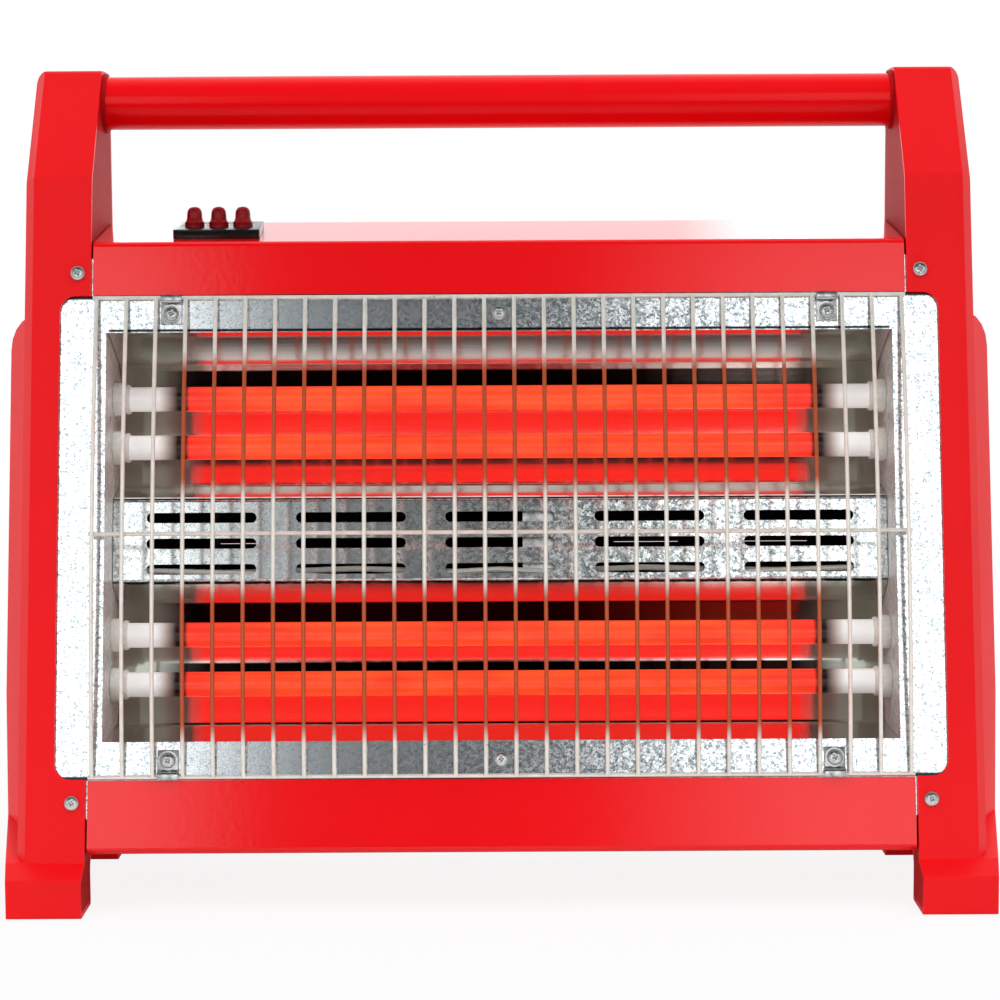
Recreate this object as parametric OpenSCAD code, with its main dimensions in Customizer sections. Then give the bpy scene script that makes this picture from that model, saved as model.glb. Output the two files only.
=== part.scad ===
// Four-tube quartz heater: moulded side cheeks, a carrying tube, a folded sheet
// housing and pan, a galvanised case with two reflector troughs, and a wire grille.
// Origin: centre of the footprint, on the floor. +X right, +Y to the rear, +Z up.

/* [Stance] */
// Angle that the front leans back from the vertical
lean = 11.5; // [4:0.5:14]
// Clear width between the two cheeks
clear_w = 392; // [360:2:440]
// Depth from the floor line of the front to the origin
front_set = 70; // [60:1:80]
// Height of the middle of the opening, along the leaning front
mid_s = 179.2; // [176:0.2:184]

/* [Cheeks] */
// Thickness of a cheek beside the opening
cheek_t = 32.6; // [28:0.2:38]
// Wall of the moulding
wall = 2.2; // [1.8:0.1:2.6]
// Width of the bevel along the outer front edge
bevel_w = 4.6; // [3:0.2:6]
// Depth of that bevel
bevel_d = 6; // [4:0.5:8]
// Height of the crease, along the leaning front
crease_s = 352.5; // [346:0.5:356]
// Length of a cheek's flat top
top_l = 27.8; // [24:0.2:34]
// Height of the top of the cheek
cheek_top = 399; // [394:1:405]
// Depth of the upper rear edge behind the floor line
rear_upper = 136; // [134:1:142]
// Depth of the rear foot behind the floor line
rear_lower = 148; // [146:1:156]
// How far the front foot stands forward
foot_reach = 8; // [5:0.5:12]
// Height of the front foot's face
foot_face = 18.5; // [15:0.5:22]
// Lower edge of the plateau, along the leaning front
plateau_s = 24.9; // [24:0.1:27]
// Length of the front foot
front_foot = 30; // [26:1:40]
// Length of the rear foot
rear_foot = 36; // [28:1:44]
// Height of the arch between the feet
arch_h = 25; // [15:1:27]
// How far the ear stands out at the side
ear_out = 15.4; // [8:0.2:18]
// Height of the top of the ear
ear_top = 279; // [250:1:300]
// Depth of the ear behind the front
ear_set = 30; // [24:1:40]
// Depth over which the ear swells out
ear_swell = 25; // [15:1:30]
// Radius of the ear's top corner
ear_corner = 18; // [10:1:22]
// How far the front foot swells out at the side
foot_out = 2.4; // [1:0.2:6]
// Depth over which the front foot widens to the ear
foot_run = 83; // [60:1:100]
// Radius of the cheek's upper outer corner, seen from the front
crown_r = 6; // [3:0.5:9]
// Width of the notch beside the opening
notch_w = 14.8; // [10:0.2:17]
// Radius of the notch's corners
notch_r = 7.5; // [4:0.5:10]
// Thickness of the inner wall
liner_t = 2.4; // [2:0.1:3]

/* [Handle] */
// Diameter of the carrying tube
handle_d = 26.2; // [22:0.2:28]
// Wall of the carrying tube
handle_wall = 1.6; // [1.2:0.1:2.4]
// Distance of its axis in front of the cheeks' rear edge
handle_back = 18; // [16:0.5:22]
// Distance of its axis below the cheeks' top
handle_drop = 15.6; // [14:0.2:18]
// How far the tube's ends stand into the cheeks
handle_in = 16; // [10:1:22]
// How far the socket collar stands out of the inner wall
collar_out = 1.8; // [1:0.2:6]
// Width of the socket collar's rim
collar_rim = 1.2; // [1:0.1:2.2]

/* [Red sheet] */
// Thickness of the painted sheet
red_t = 1; // [0.8:0.1:1.2]
// Inner radius of its folds
fold_r = 2; // [1:0.5:3]
// Gap between the sheet and each cheek
side_gap = 0.8; // [0.6:0.1:2]
// Height of the face above the opening
top_face_h = 25.6; // [22:0.1:27]
// Angle at which the top face rises to the rear
top_rise = 8.7; // [4:0.1:10]
// Height of the face below the opening
low_face_h = 35; // [32:0.5:36]
// Half the height of the opening between the two faces
opening_half = 115.5; // [112:0.5:118]
// Height of the rear returns of the housing and the pan
return_h = 13; // [10:0.5:16]

/* [Case] */
// Gap between each end plate and the cheek's inner wall
case_gap = 7.3; // [5:0.1:20]
// Height of the case frame's bands above and below its window
frame_band = 17.6; // [14:0.1:20]
// Thickness of the galvanised sheet
zinc_t = 0.8; // [0.6:0.1:1]
// Depth of the end plates behind the frame
end_depth = 63; // [60:1:66]
// Height of the slotted band
band_h = 40.4; // [36:0.2:44]
// Depth of the slotted band behind the front
band_d = 30; // [26:0.5:32]
// Depth of the band's lips
band_lip = 7; // [4:0.5:10]
// Length of a slot
slot_l = 53.5; // [40:0.5:60]
// Height of a slot
slot_h = 5; // [3:0.2:7]
// Distance between slot columns
slot_pitch_x = 72.7; // [66:0.1:74]
// Distance between slot rows
slot_pitch_s = 12.6; // [10:0.2:13.4]
// How far the slots sit below the middle of the band
slot_drop = 1.5; // [0:0.5:3]
// Thickness of the reflector sheet
mirror_t = 0.6; // [0.4:0.1:0.8]
// Depth of the reflector's back behind the front
mirror_d = 58; // [52:0.5:59]
// How much further back the upper edge of each reflector's back lies
mirror_tilt = 5.4; // [0:0.1:6]

/* [Tubes] */
// Diameter of a quartz tube
tube_d = 12; // [10:0.2:12.6]
// Wall of a quartz tube
tube_wall = 1.1; // [0.9:0.1:1.4]
// Distance between the two tubes of a pair
tube_pitch = 23.9; // [20:0.1:26]
// How far each pair sits from the middle of its trough towards the slotted band
pair_shift = 1.25; // [0:0.05:2]
// Depth of the tubes' axes behind the front
tube_depth = 32; // [28:0.5:36]
// Length of the cold end between the wound element and the end plate
cold_end = 36.7; // [30:0.1:50]
// Diameter of the wound element
coil_d = 6; // [4:0.5:7]
// Diameter of the end pins
pin_d = 2; // [1.6:0.1:2.4]
// Diameter of the ceramic holder's flange
ceramic_d = 16.4; // [16:0.2:18]
// Diameter of the ceramic holder's neck and nose
ceramic_neck_d = 14.4; // [14.2:0.1:15]
// How far the ceramic holder stands into the case
ceramic_in = 8.2; // [6:0.1:10]
// Length of its nose in front of the flange
ceramic_nose = 3.5; // [2.5:0.1:4]
// How far it stands out behind the end plate
ceramic_back = 8; // [6:0.5:10]

/* [Grille] */
// Diameter of the grille wire
wire_d = 2; // [1.6:0.1:2]
// Number of upright wires
wire_count = 28; // [20:1:32]
// Distance of the outer upright wires from the line of the cheeks' inner walls
wire_margin = 3; // [2:0.5:6]
// How far the uprights bow forward
wire_bow = 8; // [4:0.5:12]
// Depth of the upper and lower cross wires behind the front
wire_depth = 1.2; // [0.8:0.1:1.3]
// Depth of a weld, where two wires sink into each other
weld = 0.2; // [0.1:0.05:0.4]

/* [Switch] */
// Distance of the switch from the cheek's inner wall
switch_off = 58.9; // [50:0.1:90]
// Width of the switch's rim
switch_w = 42; // [40:0.5:48]
// Depth of the switch's rim
switch_l = 28; // [26:0.5:32]
// Height of the switch's rim
switch_h = 4.4; // [3.8:0.2:5]
// Distance of the rim behind the fold
switch_back = 10; // [7:0.5:14]
// Distance between two keys
key_pitch = 11.8; // [11.6:0.1:13]
// Diameter of a key's ball skirt
key_ball_d = 9.2; // [8.8:0.1:9.3]
// Diameter of a key's lever
key_d = 7.6; // [7:0.1:7.8]
// Height of a key above its pin
key_h = 11.2; // [10:0.2:14]
// Height above the pin at which the ball skirt has narrowed to the lever
skirt_h = 5.2; // [4.6:0.1:6]
// Tilt of a key to each side
key_tilt = 12; // [8:1:13]

/* [Fasteners and fits] */
// Head diameter of a screw
head_d = 7.2; // [6:0.2:8]
// Head height of a screw
head_h = 2; // [1.6:0.1:2.2]
// Shank diameter of a screw
shank_d = 3.6; // [3:0.1:3.8]
// Shank length of the sheet screws
sheet_screw_l = 6; // [5:0.5:8]
// Shank length of the screws through the cheeks
cheek_screw_l = 8; // [6:0.5:10]
// Gap between pieces that lie against each other
seat = 0.3; // [0.2:0.05:0.35]
// Running clearance of a pivot pin, on the radius
running = 0.05; // [0.02:0.01:0.1]
// Diameter of the hole for the mains lead
inlet_d = 8.4; // [7:0.2:10]
// Diameter of a rubber pad
pad_d = 14; // [12:0.5:16]
// How far a pad stands into the foot
pad_in = 1.2; // [0.8:0.1:1.6]
// How far a pad stands below the foot
pad_proud = 0.6; // [0.4:0.1:1]

/* [Hidden] */
$fn = 48;
eps = 0.01;
red = [0.93, 0.11, 0.14];
zinc = [0.80, 0.83, 0.84];
ceramic = [0.95, 0.95, 0.92];

// Points of the leaning front: s runs up the front, d runs in from it
function lean_y(s, d) = s * sin(lean) + d * cos(lean);
function lean_z(s, d) = s * cos(lean) - d * sin(lean);
function on_lean(s, d) = [lean_y(s, d), lean_z(s, d)];

// Longer than the heater in any direction, for cuts that run through it
far = 600;

x_in = clear_w / 2;
case_w = clear_w - 2 * case_gap;
wire_span = clear_w - 2 * wire_margin;
window_half = opening_half - frame_band;
pair_off = (window_half + band_h / 2) / 2 - pair_shift;
crease = on_lean(crease_s, 0);
slope_angle = atan2(rear_upper - top_l - crease[0], cheek_top - crease[1]);
coil_half = case_w / 2 - cold_end;
switch_x = x_in - switch_off;
handle_y = rear_upper - handle_back;
handle_z = cheek_top - handle_drop;
x_side = x_in + cheek_t;
x_plateau = x_side - bevel_w;
x_ear = x_side + ear_out;
x_foot = x_side + foot_out;
opening_top = mid_s + opening_half;
opening_low = mid_s - opening_half;

// Stack behind the front: red sheet, then frame
red_d = wall - red_t;
frame_d = wall + seat;
frame_back = frame_d + zinc_t;
frame_half_w = x_in + notch_w + 3.2;
frame_lap = 18.5;
frame_top = opening_top + frame_lap;
frame_low = opening_low - frame_lap;

end_x = case_w / 2;
sheet_half_w = x_in - side_gap;
case_inner = end_x - seat;

// Folds of the red sheet, behind the floor line of the front
housing_low = on_lean(opening_top + 0.5, red_d);
housing_fold = on_lean(opening_top + 0.5 + top_face_h, red_d);
return_y = rear_upper - 2.5;
housing_rear = [return_y, housing_fold[1] + (return_y - housing_fold[0]) * tan(top_rise)];
pan_top = on_lean(opening_low - 0.5, red_d);
pan_fold = on_lean(opening_low - 0.5 - low_face_h, red_d);
cover_y = return_y - red_t - seat;
cover_flange = 12;
cover_half_w = sheet_half_w - 0.4;
cover_low = pan_fold[1] + red_t + fold_r;
cover_top = housing_rear[1] - red_t - fold_r - cover_flange * tan(top_rise);
pan_screw_z = pan_fold[1] + return_h / 2 + 1;
housing_screw_z = housing_rear[1] - return_h / 2 - 1;

// Heights of the tubes along the front, from the top
tube_s = [mid_s + pair_off + tube_pitch / 2, mid_s + pair_off - tube_pitch / 2,
    mid_s - pair_off + tube_pitch / 2, mid_s - pair_off - tube_pitch / 2];
ceramic_x = end_x - ceramic_in;
tube_end = end_x + 1;
neck_x = end_x + ceramic_back;
nut_t = 3.2;
nut_x = neck_x + seat;
bus_x = nut_x + nut_t + seat;
pin_x = bus_x + zinc_t + 2.5;
pin_r = pin_d / 2;

// Grille wires
wire_r = wire_d / 2;
wire_sides = 12;
wire_lap = 2;
cross_s = opening_half - wire_r;
cross_off = wire_d - weld;
bow_r = (pow(cross_s, 2) + pow(wire_bow, 2)) / (2 * wire_bow);
wire_pitch = wire_span / (wire_count - 1);

// Fastener places
cheek_screw_x = x_in + 6.3;
cheek_screw_s = opening_half + 11;
band_mid = (opening_half + window_half) / 2;
clip_x = 11 * wire_pitch;
head_r = head_d / 2;
shank_r = shank_d / 2;

// Switch places, in the plane of the top face
switch_mid = switch_back + switch_l / 2;
pivot_h = switch_h - 2;
collar_h = 1;
ball_r = key_ball_d / 2;
socket_r = ball_r + seat;
collar_r = socket_r + 0.7;
pivot_pin_r = 0.8;

// ---- Outlines ---------------------------------------------------------------

// Half-angle in degrees from which a corner counts as straight
straight = 89.5;

function unit(v) = v / norm(v);
function left_of(v) = [-v[1], v[0]];
function flat(p) = [p[0], p[1]];
function turn(a, b) = a[0] * b[1] - a[1] * b[0];

// A corner [x, y, radius] between its neighbours, as points of an arc
function corner(a, b, c) =
    let (p = flat(b), u = unit(flat(a) - p), v = unit(flat(c) - p))
    let (half = acos(max(-1, min(1, u * v))) / 2, reach = b[2] / tan(half))
    let (steps = max(2, ceil((90 - half) / 9)), centre = p + unit(u + v) * b[2] / sin(half))
    let (from = p + u * reach - centre, side = sign(turn(v, u)))
    b[2] <= 0 || half > straight ? [p] : [for (i = [0:steps])
        let (angle = side * (180 - 2 * half) * i / steps)
        centre + [from[0] * cos(angle) - from[1] * sin(angle),
            from[0] * sin(angle) + from[1] * cos(angle)]];

// A closed outline with each corner rounded to its own radius
function rounded(pts) = [for (i = [0:len(pts) - 1])
    each corner(pts[(i + len(pts) - 1) % len(pts)], pts[i], pts[(i + 1) % len(pts)])];

// A closed outline moved inwards by t, its radii following
function inset(pts, t) = [for (i = [0:len(pts) - 1])
    let (before = pts[(i + len(pts) - 1) % len(pts)], after = pts[(i + 1) % len(pts)])
    let (u = unit(flat(pts[i]) - flat(before)), v = unit(flat(after) - flat(pts[i])))
    let (m = left_of(u), n = left_of(v), q = flat(pts[i]) + t * (m + n) / (1 + m * n))
    [q[0], q[1], turn(u, v) > 0 ? max(pts[i][2] - t, 0) : pts[i][2] + t]];

// An open path with rounded bends
function bent(pts) = [for (i = [0:len(pts) - 1])
    each i == 0 || i == len(pts) - 1 ? [flat(pts[i])] : corner(pts[i - 1], pts[i], pts[i + 1])];

// A sheet of thickness t that lies to the left of an open path
function sheet(path, t) =
    let (last = len(path) - 1)
    concat(path, [for (i = [last:-1:0])
        let (u = unit(path[max(i, 1)] - path[max(i, 1) - 1]))
        let (v = unit(path[min(i + 1, last)] - path[min(i + 1, last) - 1]))
        let (m = left_of(u), n = left_of(v))
        path[i] + t * (m + n) / (1 + m * n)]);

// ---- Placing ----------------------------------------------------------------

// In the leaning front: X across, Y in from the front, Z up along it
module on_front() {
    translate([0, -front_set, 0]) rotate([-lean, 0, 0]) children();
}

// In the top face: X across, Y back from the fold, Z out of the face
module on_top() {
    translate([0, housing_fold[0] - front_set, housing_fold[1]])
        rotate([top_rise, 0, 0]) children();
}

// A side outline of depth and height, extruded between two widths
module along_x(x0, x1) {
    translate([x0, -front_set, 0]) rotate([90, 0, 90]) linear_extrude(x1 - x0) children();
}

// An outline of depth d and height s in the leaning front, extruded across
module across_front(half_w) {
    translate([-half_w, 0, 0]) rotate([90, 0, 90]) linear_extrude(2 * half_w) children();
}

// A round bar along X at a side position
module bar(x0, x1, y, z, r) {
    translate([x0, y, z]) rotate([0, 90, 0]) cylinder(r = r, h = x1 - x0);
}

// A hole or shank square to the leaning front
module into_front(x, s, d0, d1, r) {
    translate([x, d0, s]) rotate([-90, 0, 0]) cylinder(r = r, h = d1 - d0);
}

// A pan-head screw with a cross recess, its head resting on z = 0
module screw(length) {
    difference() {
        union() {
            translate([0, 0, seat / 3]) cylinder(r = head_r, h = head_h * 0.5);
            translate([0, 0, seat / 3 + head_h * 0.5])
                cylinder(r1 = head_r, r2 = head_r * 0.62, h = head_h * 0.5);
            translate([0, 0, -length]) cylinder(r = shank_r, h = length + seat);
        }
        for (a = [0, 90])
            rotate([0, 0, a]) translate([-head_r * 0.5, -0.4, head_h * 0.45])
                cube([head_r, 0.8, head_h]);
    }
}

// The same screw, driven into the leaning front
module front_screw(x, s, d, length) {
    translate([x, d, s]) rotate([90, 0, 0]) screw(length);
}

// ---- Cheeks -----------------------------------------------------------------

function cheek_corners() =
    let (low = on_lean(plateau_s, 0))
    [[-foot_reach, pad_proud, 1.5],
        [front_foot - foot_reach, pad_proud, 1.5],
        [front_foot - foot_reach, arch_h, 9],
        [rear_lower - rear_foot, arch_h, 9],
        [rear_lower - rear_foot, pad_proud, 1.5],
        [rear_lower, pad_proud, 3],
        [rear_lower, 45, 40],
        [rear_upper, ear_top, 80],
        [rear_upper, cheek_top, 11],
        [rear_upper - top_l, cheek_top, 4],
        [crease[0], crease[1], 3],
        [low[0], low[1], 1.5],
        [-foot_reach, foot_face, 2]];

function ear_corners() =
    [[lean_y(arch_h, ear_set), arch_h, 2],
        [rear_lower - rear_foot, arch_h, 9],
        [rear_lower - rear_foot, pad_proud, 1.5],
        [rear_lower, pad_proud, 3],
        [rear_lower, 45, 40],
        [rear_upper, ear_top, 0],
        [lean_y(ear_top, ear_set) + 3, ear_top, 8]];

// The front foot's swell, which rises to the ear behind it
swell_rise = 24;
function swell_corners() =
    let (low = on_lean(plateau_s, 0), high = on_lean(plateau_s + swell_rise, ear_set + ear_swell))
    [[-foot_reach, pad_proud, 1.5],
        [front_foot - foot_reach, pad_proud, 1.5],
        [front_foot - foot_reach, arch_h, 9],
        [high[0] + 10, arch_h, 0],
        [high[0] + 10, high[1], 0],
        [high[0], high[1], 12],
        [low[0], low[1], 1.5],
        [-foot_reach, foot_face, 2]];

// Everything outside the bevel line of a front plane, inset by w
module front_bevel(length, w) {
    linear_extrude(length)
        polygon([[x_plateau - w - bevel_w, -bevel_d], [x_side - w + bevel_w, bevel_d * 2],
            [x_side + 20, -bevel_d]]);
}

module cheek_bevels(w) {
    on_front() translate([0, 0, plateau_s]) front_bevel(crease_s - plateau_s + 40, w);
    translate([0, crease[0] - front_set, crease[1]])
        rotate([-slope_angle, 0, 0]) translate([0, 0, -60]) front_bevel(160, w);
}

// Seen from the front: an outline up to a width and a height, its corner rounded
module seen_from_front(width, height, r) {
    rotate([90, 0, 0]) linear_extrude(far, center = true)
        polygon(rounded([[0, -5, 0], [width, -5, 0], [width, height, r], [0, height, 0]]));
}

module cheek_body(w) {
    difference() {
        intersection() {
            along_x(x_in, x_side - w) polygon(rounded(inset(cheek_corners(), w)));
            seen_from_front(x_side - w, cheek_top - w, crown_r - w);
        }
        cheek_bevels(w);
    }
}

// Seen from above: the foot widens from its front to the ear, inset by w
module foot_plan(w) {
    translate([0, -front_set, -5]) linear_extrude(ear_top + 10)
        polygon([[0, -far], [x_foot - w, -far], [x_foot - w, -foot_reach],
            [x_ear - w, foot_run - foot_reach], [x_ear - w, far], [0, far]]);
}

// The ear and the foot's swell, inset by w
module ear(w) {
    difference() {
        intersection() {
            along_x(x_side - wall - 3, x_ear) polygon(rounded(inset(ear_corners(), w)));
            seen_from_front(x_ear - w, ear_top - w, ear_corner - w);
            foot_plan(w);
        }
        on_front() translate([0, 0, -20]) linear_extrude(ear_top + 60)
            polygon([[x_side - 10, ear_set + w - 20],
                [x_side - w, ear_set + w], [x_ear - w, ear_set + ear_swell + w],
                [x_ear + 20, ear_set + ear_swell + w + 10], [x_ear + 20, ear_set - 20]]);
    }
    intersection() {
        along_x(x_side - wall - 3, x_ear) polygon(rounded(inset(swell_corners(), w)));
        foot_plan(w);
    }
}

// The notch that shows the frame beside the opening
module notch() {
    on_front() translate([0, 6, 0]) rotate([90, 0, 0]) linear_extrude(14)
        polygon(rounded([[x_in - 5, opening_low, 0], [x_in + notch_w, opening_low, notch_r],
            [x_in + notch_w, opening_top, notch_r], [x_in - 5, opening_top, 0]]));
}

pad_places = [[x_in + cheek_t / 2, (front_foot - 2 * foot_reach) / 2],
    [x_in + cheek_t / 2, rear_lower - rear_foot / 2]];

module right_cheek() {
    color(red) difference() {
        union() {
            difference() {
                union() {
                    cheek_body(0);
                    ear(0);
                }
                translate([-eps, 0, 0]) cheek_body(wall);
                ear(wall);
            }
            bar(x_in + 9, x_side - wall + eps, handle_y - front_set, handle_z,
                handle_d / 2 - handle_wall - seat);
        }
        translate([-2 * eps, 0, 0]) along_x(x_in - 1, x_in + liner_t + seat)
            polygon(rounded(inset(cheek_corners(), wall)));
        notch();
        on_front() for (side = [-1, 1])
            into_front(cheek_screw_x, mid_s + side * cheek_screw_s, -5, 8, shank_r + seat);
        for (p = pad_places)
            translate([p[0], p[1] - front_set, 0])
                cylinder(r = pad_d / 2 + seat / 2, h = pad_proud + pad_in);
    }
}

module left_cheek() {
    mirror([1, 0, 0]) right_cheek();
}

module right_liner() {
    color(red * 0.85) difference() {
        union() {
            along_x(x_in, x_in + liner_t) polygon(rounded(inset(cheek_corners(), wall + seat)));
            bar(x_in - collar_out, x_in + eps, handle_y - front_set, handle_z,
                handle_d / 2 + seat + collar_rim);
        }
        bar(x_in - 10, x_in + 10, handle_y - front_set, handle_z, handle_d / 2 + seat);
        on_front() {
            translate([x_in - 5, -5, frame_low - seat])
                cube([20, 5 + frame_back + seat, frame_top - frame_low + 2 * seat]);
            translate([x_in - 5, -5, opening_low + 3])
                cube([20, 5 + end_depth, 2 * opening_half - 6]);
        }
        bar(x_in - 5, x_in + 10, lead_y - front_set, lead_z, 5);
    }
}

module left_liner() {
    mirror([1, 0, 0]) right_liner();
}

module handle_tube() {
    color(red) difference() {
        bar(-x_in - handle_in, x_in + handle_in, handle_y - front_set, handle_z, handle_d / 2);
        bar(-far, far, handle_y - front_set, handle_z, handle_d / 2 - handle_wall);
    }
}

module foot_pads() {
    color("black") for (side = [0, 1], p = pad_places)
        mirror([side, 0, 0]) translate([p[0], p[1] - front_set, 0])
            cylinder(r = pad_d / 2, h = pad_proud + pad_in - seat / 3);
}

// ---- Red sheet --------------------------------------------------------------

module top_housing() {
    outer_r = fold_r + red_t;
    path = bent([[return_y, housing_rear[1] - return_h, 0],
        [housing_rear[0], housing_rear[1], outer_r],
        [housing_fold[0], housing_fold[1], outer_r], [housing_low[0], housing_low[1], 0]]);
    color(red) difference() {
        along_x(-sheet_half_w, sheet_half_w) polygon(sheet(path, red_t));
        on_top() translate([-switch_x, switch_mid, 0])
            cube([switch_body_w + 2 * seat, switch_body_l + 2 * seat, 20], center = true);
        for (x = cover_screw_x)
            translate([x, return_y - front_set - 5, housing_screw_z])
                rotate([-90, 0, 0]) cylinder(r = shank_r + seat, h = 10);
    }
}

module bottom_pan() {
    outer_r = fold_r + red_t;
    path = bent([[pan_top[0], pan_top[1], 0], [pan_fold[0], pan_fold[1], outer_r],
        [return_y, pan_fold[1], outer_r], [return_y, pan_fold[1] + return_h, 0]]);
    color(red) difference() {
        along_x(-sheet_half_w, sheet_half_w) polygon(sheet(path, red_t));
        for (x = cover_screw_x)
            translate([x, return_y - front_set - 5, pan_screw_z])
                rotate([-90, 0, 0]) cylinder(r = shank_r + seat, h = 10);
    }
}

// ---- Rear cover -------------------------------------------------------------

louvre_l = 52;
louvre_h = 5;
louvre_out = 2.6;
louvre_pitch_x = 66;
louvre_pitch_z = 19;
louvre_rows = 10;
louvre_cols = 5;
louvre_low = cover_low + 55;
cover_screw_x = [-160, 0, 160];

// One pressed louvre: a sloping hood over its slot, closed at both ends
module louvre_hood() {
    profile = [[-eps, -1], [louvre_out, -1], [louvre_out, 0], [-eps, louvre_h + 2]];
    difference() {
        rotate([90, 0, 90]) linear_extrude(louvre_l, center = true) polygon(profile);
        translate([0, -red_t, -red_t]) rotate([90, 0, 90])
            linear_extrude(louvre_l - 2 * red_t, center = true) polygon(profile);
    }
}

module louvre_places() {
    for (i = [0:louvre_cols - 1], j = [0:louvre_rows - 1])
        translate([(i - (louvre_cols - 1) / 2) * louvre_pitch_x, 0,
            louvre_low + j * louvre_pitch_z]) children();
}

module back_cover() {
    color(red) difference() {
        union() {
            translate([-cover_half_w, cover_y - red_t - front_set, cover_low])
                cube([2 * cover_half_w, red_t, cover_top - cover_low]);
            for (side = [0, 1])
                mirror([side, 0, 0])
                    translate([cover_half_w - red_t, cover_y - cover_flange - front_set, cover_low])
                    cube([red_t, cover_flange, cover_top - cover_low]);
            translate([0, cover_y - front_set, 0]) louvre_places() louvre_hood();
        }
        translate([0, cover_y - front_set, 0]) louvre_places()
            translate([0, -red_t, louvre_h / 2 - 1])
            cube([louvre_l - 2 * red_t, 3 * red_t, louvre_h], center = true);
        for (x = cover_screw_x, z = [pan_screw_z, housing_screw_z])
            translate([x, cover_y - front_set - 5, z]) rotate([-90, 0, 0])
                cylinder(r = shank_r + seat, h = 10);
        translate([-inlet_x, cover_y - front_set - 5, inlet_z]) rotate([-90, 0, 0])
            cylinder(r = inlet_d / 2 + bush_wall + seat, h = 10);
    }
}

module back_screws() {
    color("silver") for (x = cover_screw_x, z = [pan_screw_z, housing_screw_z])
        translate([x, return_y - front_set, z]) rotate([-90, 0, 0]) screw(sheet_screw_l);
}

// ---- Galvanised case --------------------------------------------------------

module case_frame() {
    color(zinc) on_front() difference() {
        translate([-frame_half_w, frame_d, frame_low])
            cube([2 * frame_half_w, zinc_t, frame_top - frame_low]);
        translate([-end_x, -5, mid_s - window_half]) cube([2 * end_x, 20, 2 * window_half]);
        for (side = [-1, 1], up = [-1, 1])
            into_front(side * cheek_screw_x, mid_s + up * cheek_screw_s, -5, 10, shank_r + seat / 2);
        for (up = [-1, 1])
            into_front(0, mid_s + up * band_mid, -5, 10, shank_r + seat / 2);
        for (side = [-1, 1]) {
            into_front(side * clip_x, mid_s + band_mid, -5, 10, shank_r + seat / 2);
            into_front(side * clip_x, mid_s - band_mid, -5, 10, shank_r + seat / 2);
        }
    }
}

module right_end_plate() {
    color(zinc) on_front() difference() {
        translate([end_x, frame_back + seat / 2, opening_low])
            cube([zinc_t, end_depth - frame_back, 2 * opening_half]);
        for (s = tube_s)
            bar(end_x - 5, end_x + 5, tube_depth, s, ceramic_neck_d / 2 + seat);
        for (s = [mid_s + pair_off, mid_s - pair_off])
            bar(end_x - 5, end_x + 5, tube_depth - 12, s, 2);
        bar(end_x - 5, end_x + 5, band_d + 14, mid_s - 16, 4);
    }
}

module left_end_plate() {
    mirror([1, 0, 0]) right_end_plate();
}

// A folded trough above the middle, as depth and height from the middle; tilt is how
// much deeper the far edge of its back lies than the edge beside the band
function trough_path(tilt) = bent([[frame_back + seat, band_mid - shank_r - seat, 0],
    [frame_back + seat, window_half + 1, 1.5], [mirror_d - 12, window_half - 9, 3],
    [mirror_d + tilt / 2, window_half - 20, 6], [mirror_d - tilt / 2, band_h / 2 + 20, 6],
    [mirror_d - 8, band_h / 2 + 9, 3], [band_d + 0.5, band_h / 2 + seat + 0.4, 0]]);

module trough(tilt) {
    color([0.86, 0.87, 0.88]) across_front(case_inner)
        polygon(sheet(trough_path(tilt), mirror_t));
}

module upper_reflector() {
    on_front() translate([0, 0, mid_s]) trough(mirror_tilt);
}

module lower_reflector() {
    on_front() translate([0, 0, mid_s]) mirror([0, 0, 1]) trough(-mirror_tilt);
}

module vent_band() {
    half = band_h / 2;
    path = bent([[band_d + band_lip, half, 0], [band_d, half, 1.5], [band_d, -half, 1.5],
        [band_d + band_lip, -half, 0]]);
    color(zinc) on_front() translate([0, 0, mid_s]) difference() {
        across_front(case_inner) polygon(sheet(path, zinc_t));
        for (i = [-2:2], j = [-1:1])
            translate([i * slot_pitch_x, 0, j * slot_pitch_s - slot_drop]) {
                translate([-(slot_l - slot_h) / 2, band_d - 2, -slot_h / 2])
                    cube([slot_l - slot_h, 6, slot_h]);
                for (end = [-1, 1])
                    into_front(end * (slot_l - slot_h) / 2, 0, band_d - 2, band_d + 4, slot_h / 2);
            }
    }
}

// ---- Tubes ------------------------------------------------------------------

module quartz_tube(s) {
    color([0.96, 0.93, 0.90]) on_front() difference() {
        bar(-tube_end, tube_end, tube_depth, s, tube_d / 2);
        bar(-tube_end - 1, tube_end + 1, tube_depth, s, tube_d / 2 - tube_wall);
    }
}

module heating_coil(s) {
    color([1, 0.35, 0.05]) on_front() {
        bar(-coil_half, coil_half, tube_depth, s, coil_d / 2);
        for (side = [0, 1])
            mirror([side, 0, 0]) bar(coil_half - eps, pin_x, tube_depth, s, pin_r);
    }
}

module quartz_tube_1() quartz_tube(tube_s[0]);
module quartz_tube_2() quartz_tube(tube_s[1]);
module quartz_tube_3() quartz_tube(tube_s[2]);
module quartz_tube_4() quartz_tube(tube_s[3]);
module heating_coil_1() heating_coil(tube_s[0]);
module heating_coil_2() heating_coil(tube_s[1]);
module heating_coil_3() heating_coil(tube_s[2]);
module heating_coil_4() heating_coil(tube_s[3]);

module right_ceramics() {
    color(ceramic) on_front() for (s = tube_s)
        difference() {
            union() {
                bar(ceramic_x, neck_x, tube_depth, s, ceramic_neck_d / 2);
                bar(ceramic_x + ceramic_nose, end_x - seat / 2, tube_depth, s, ceramic_d / 2);
            }
            bar(ceramic_x - 1, tube_end + seat, tube_depth, s, tube_d / 2 + seat / 2);
            bar(ceramic_x, neck_x + 1, tube_depth, s, pin_r + seat / 2);
        }
}

module left_ceramics() {
    mirror([1, 0, 0]) right_ceramics();
}

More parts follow.
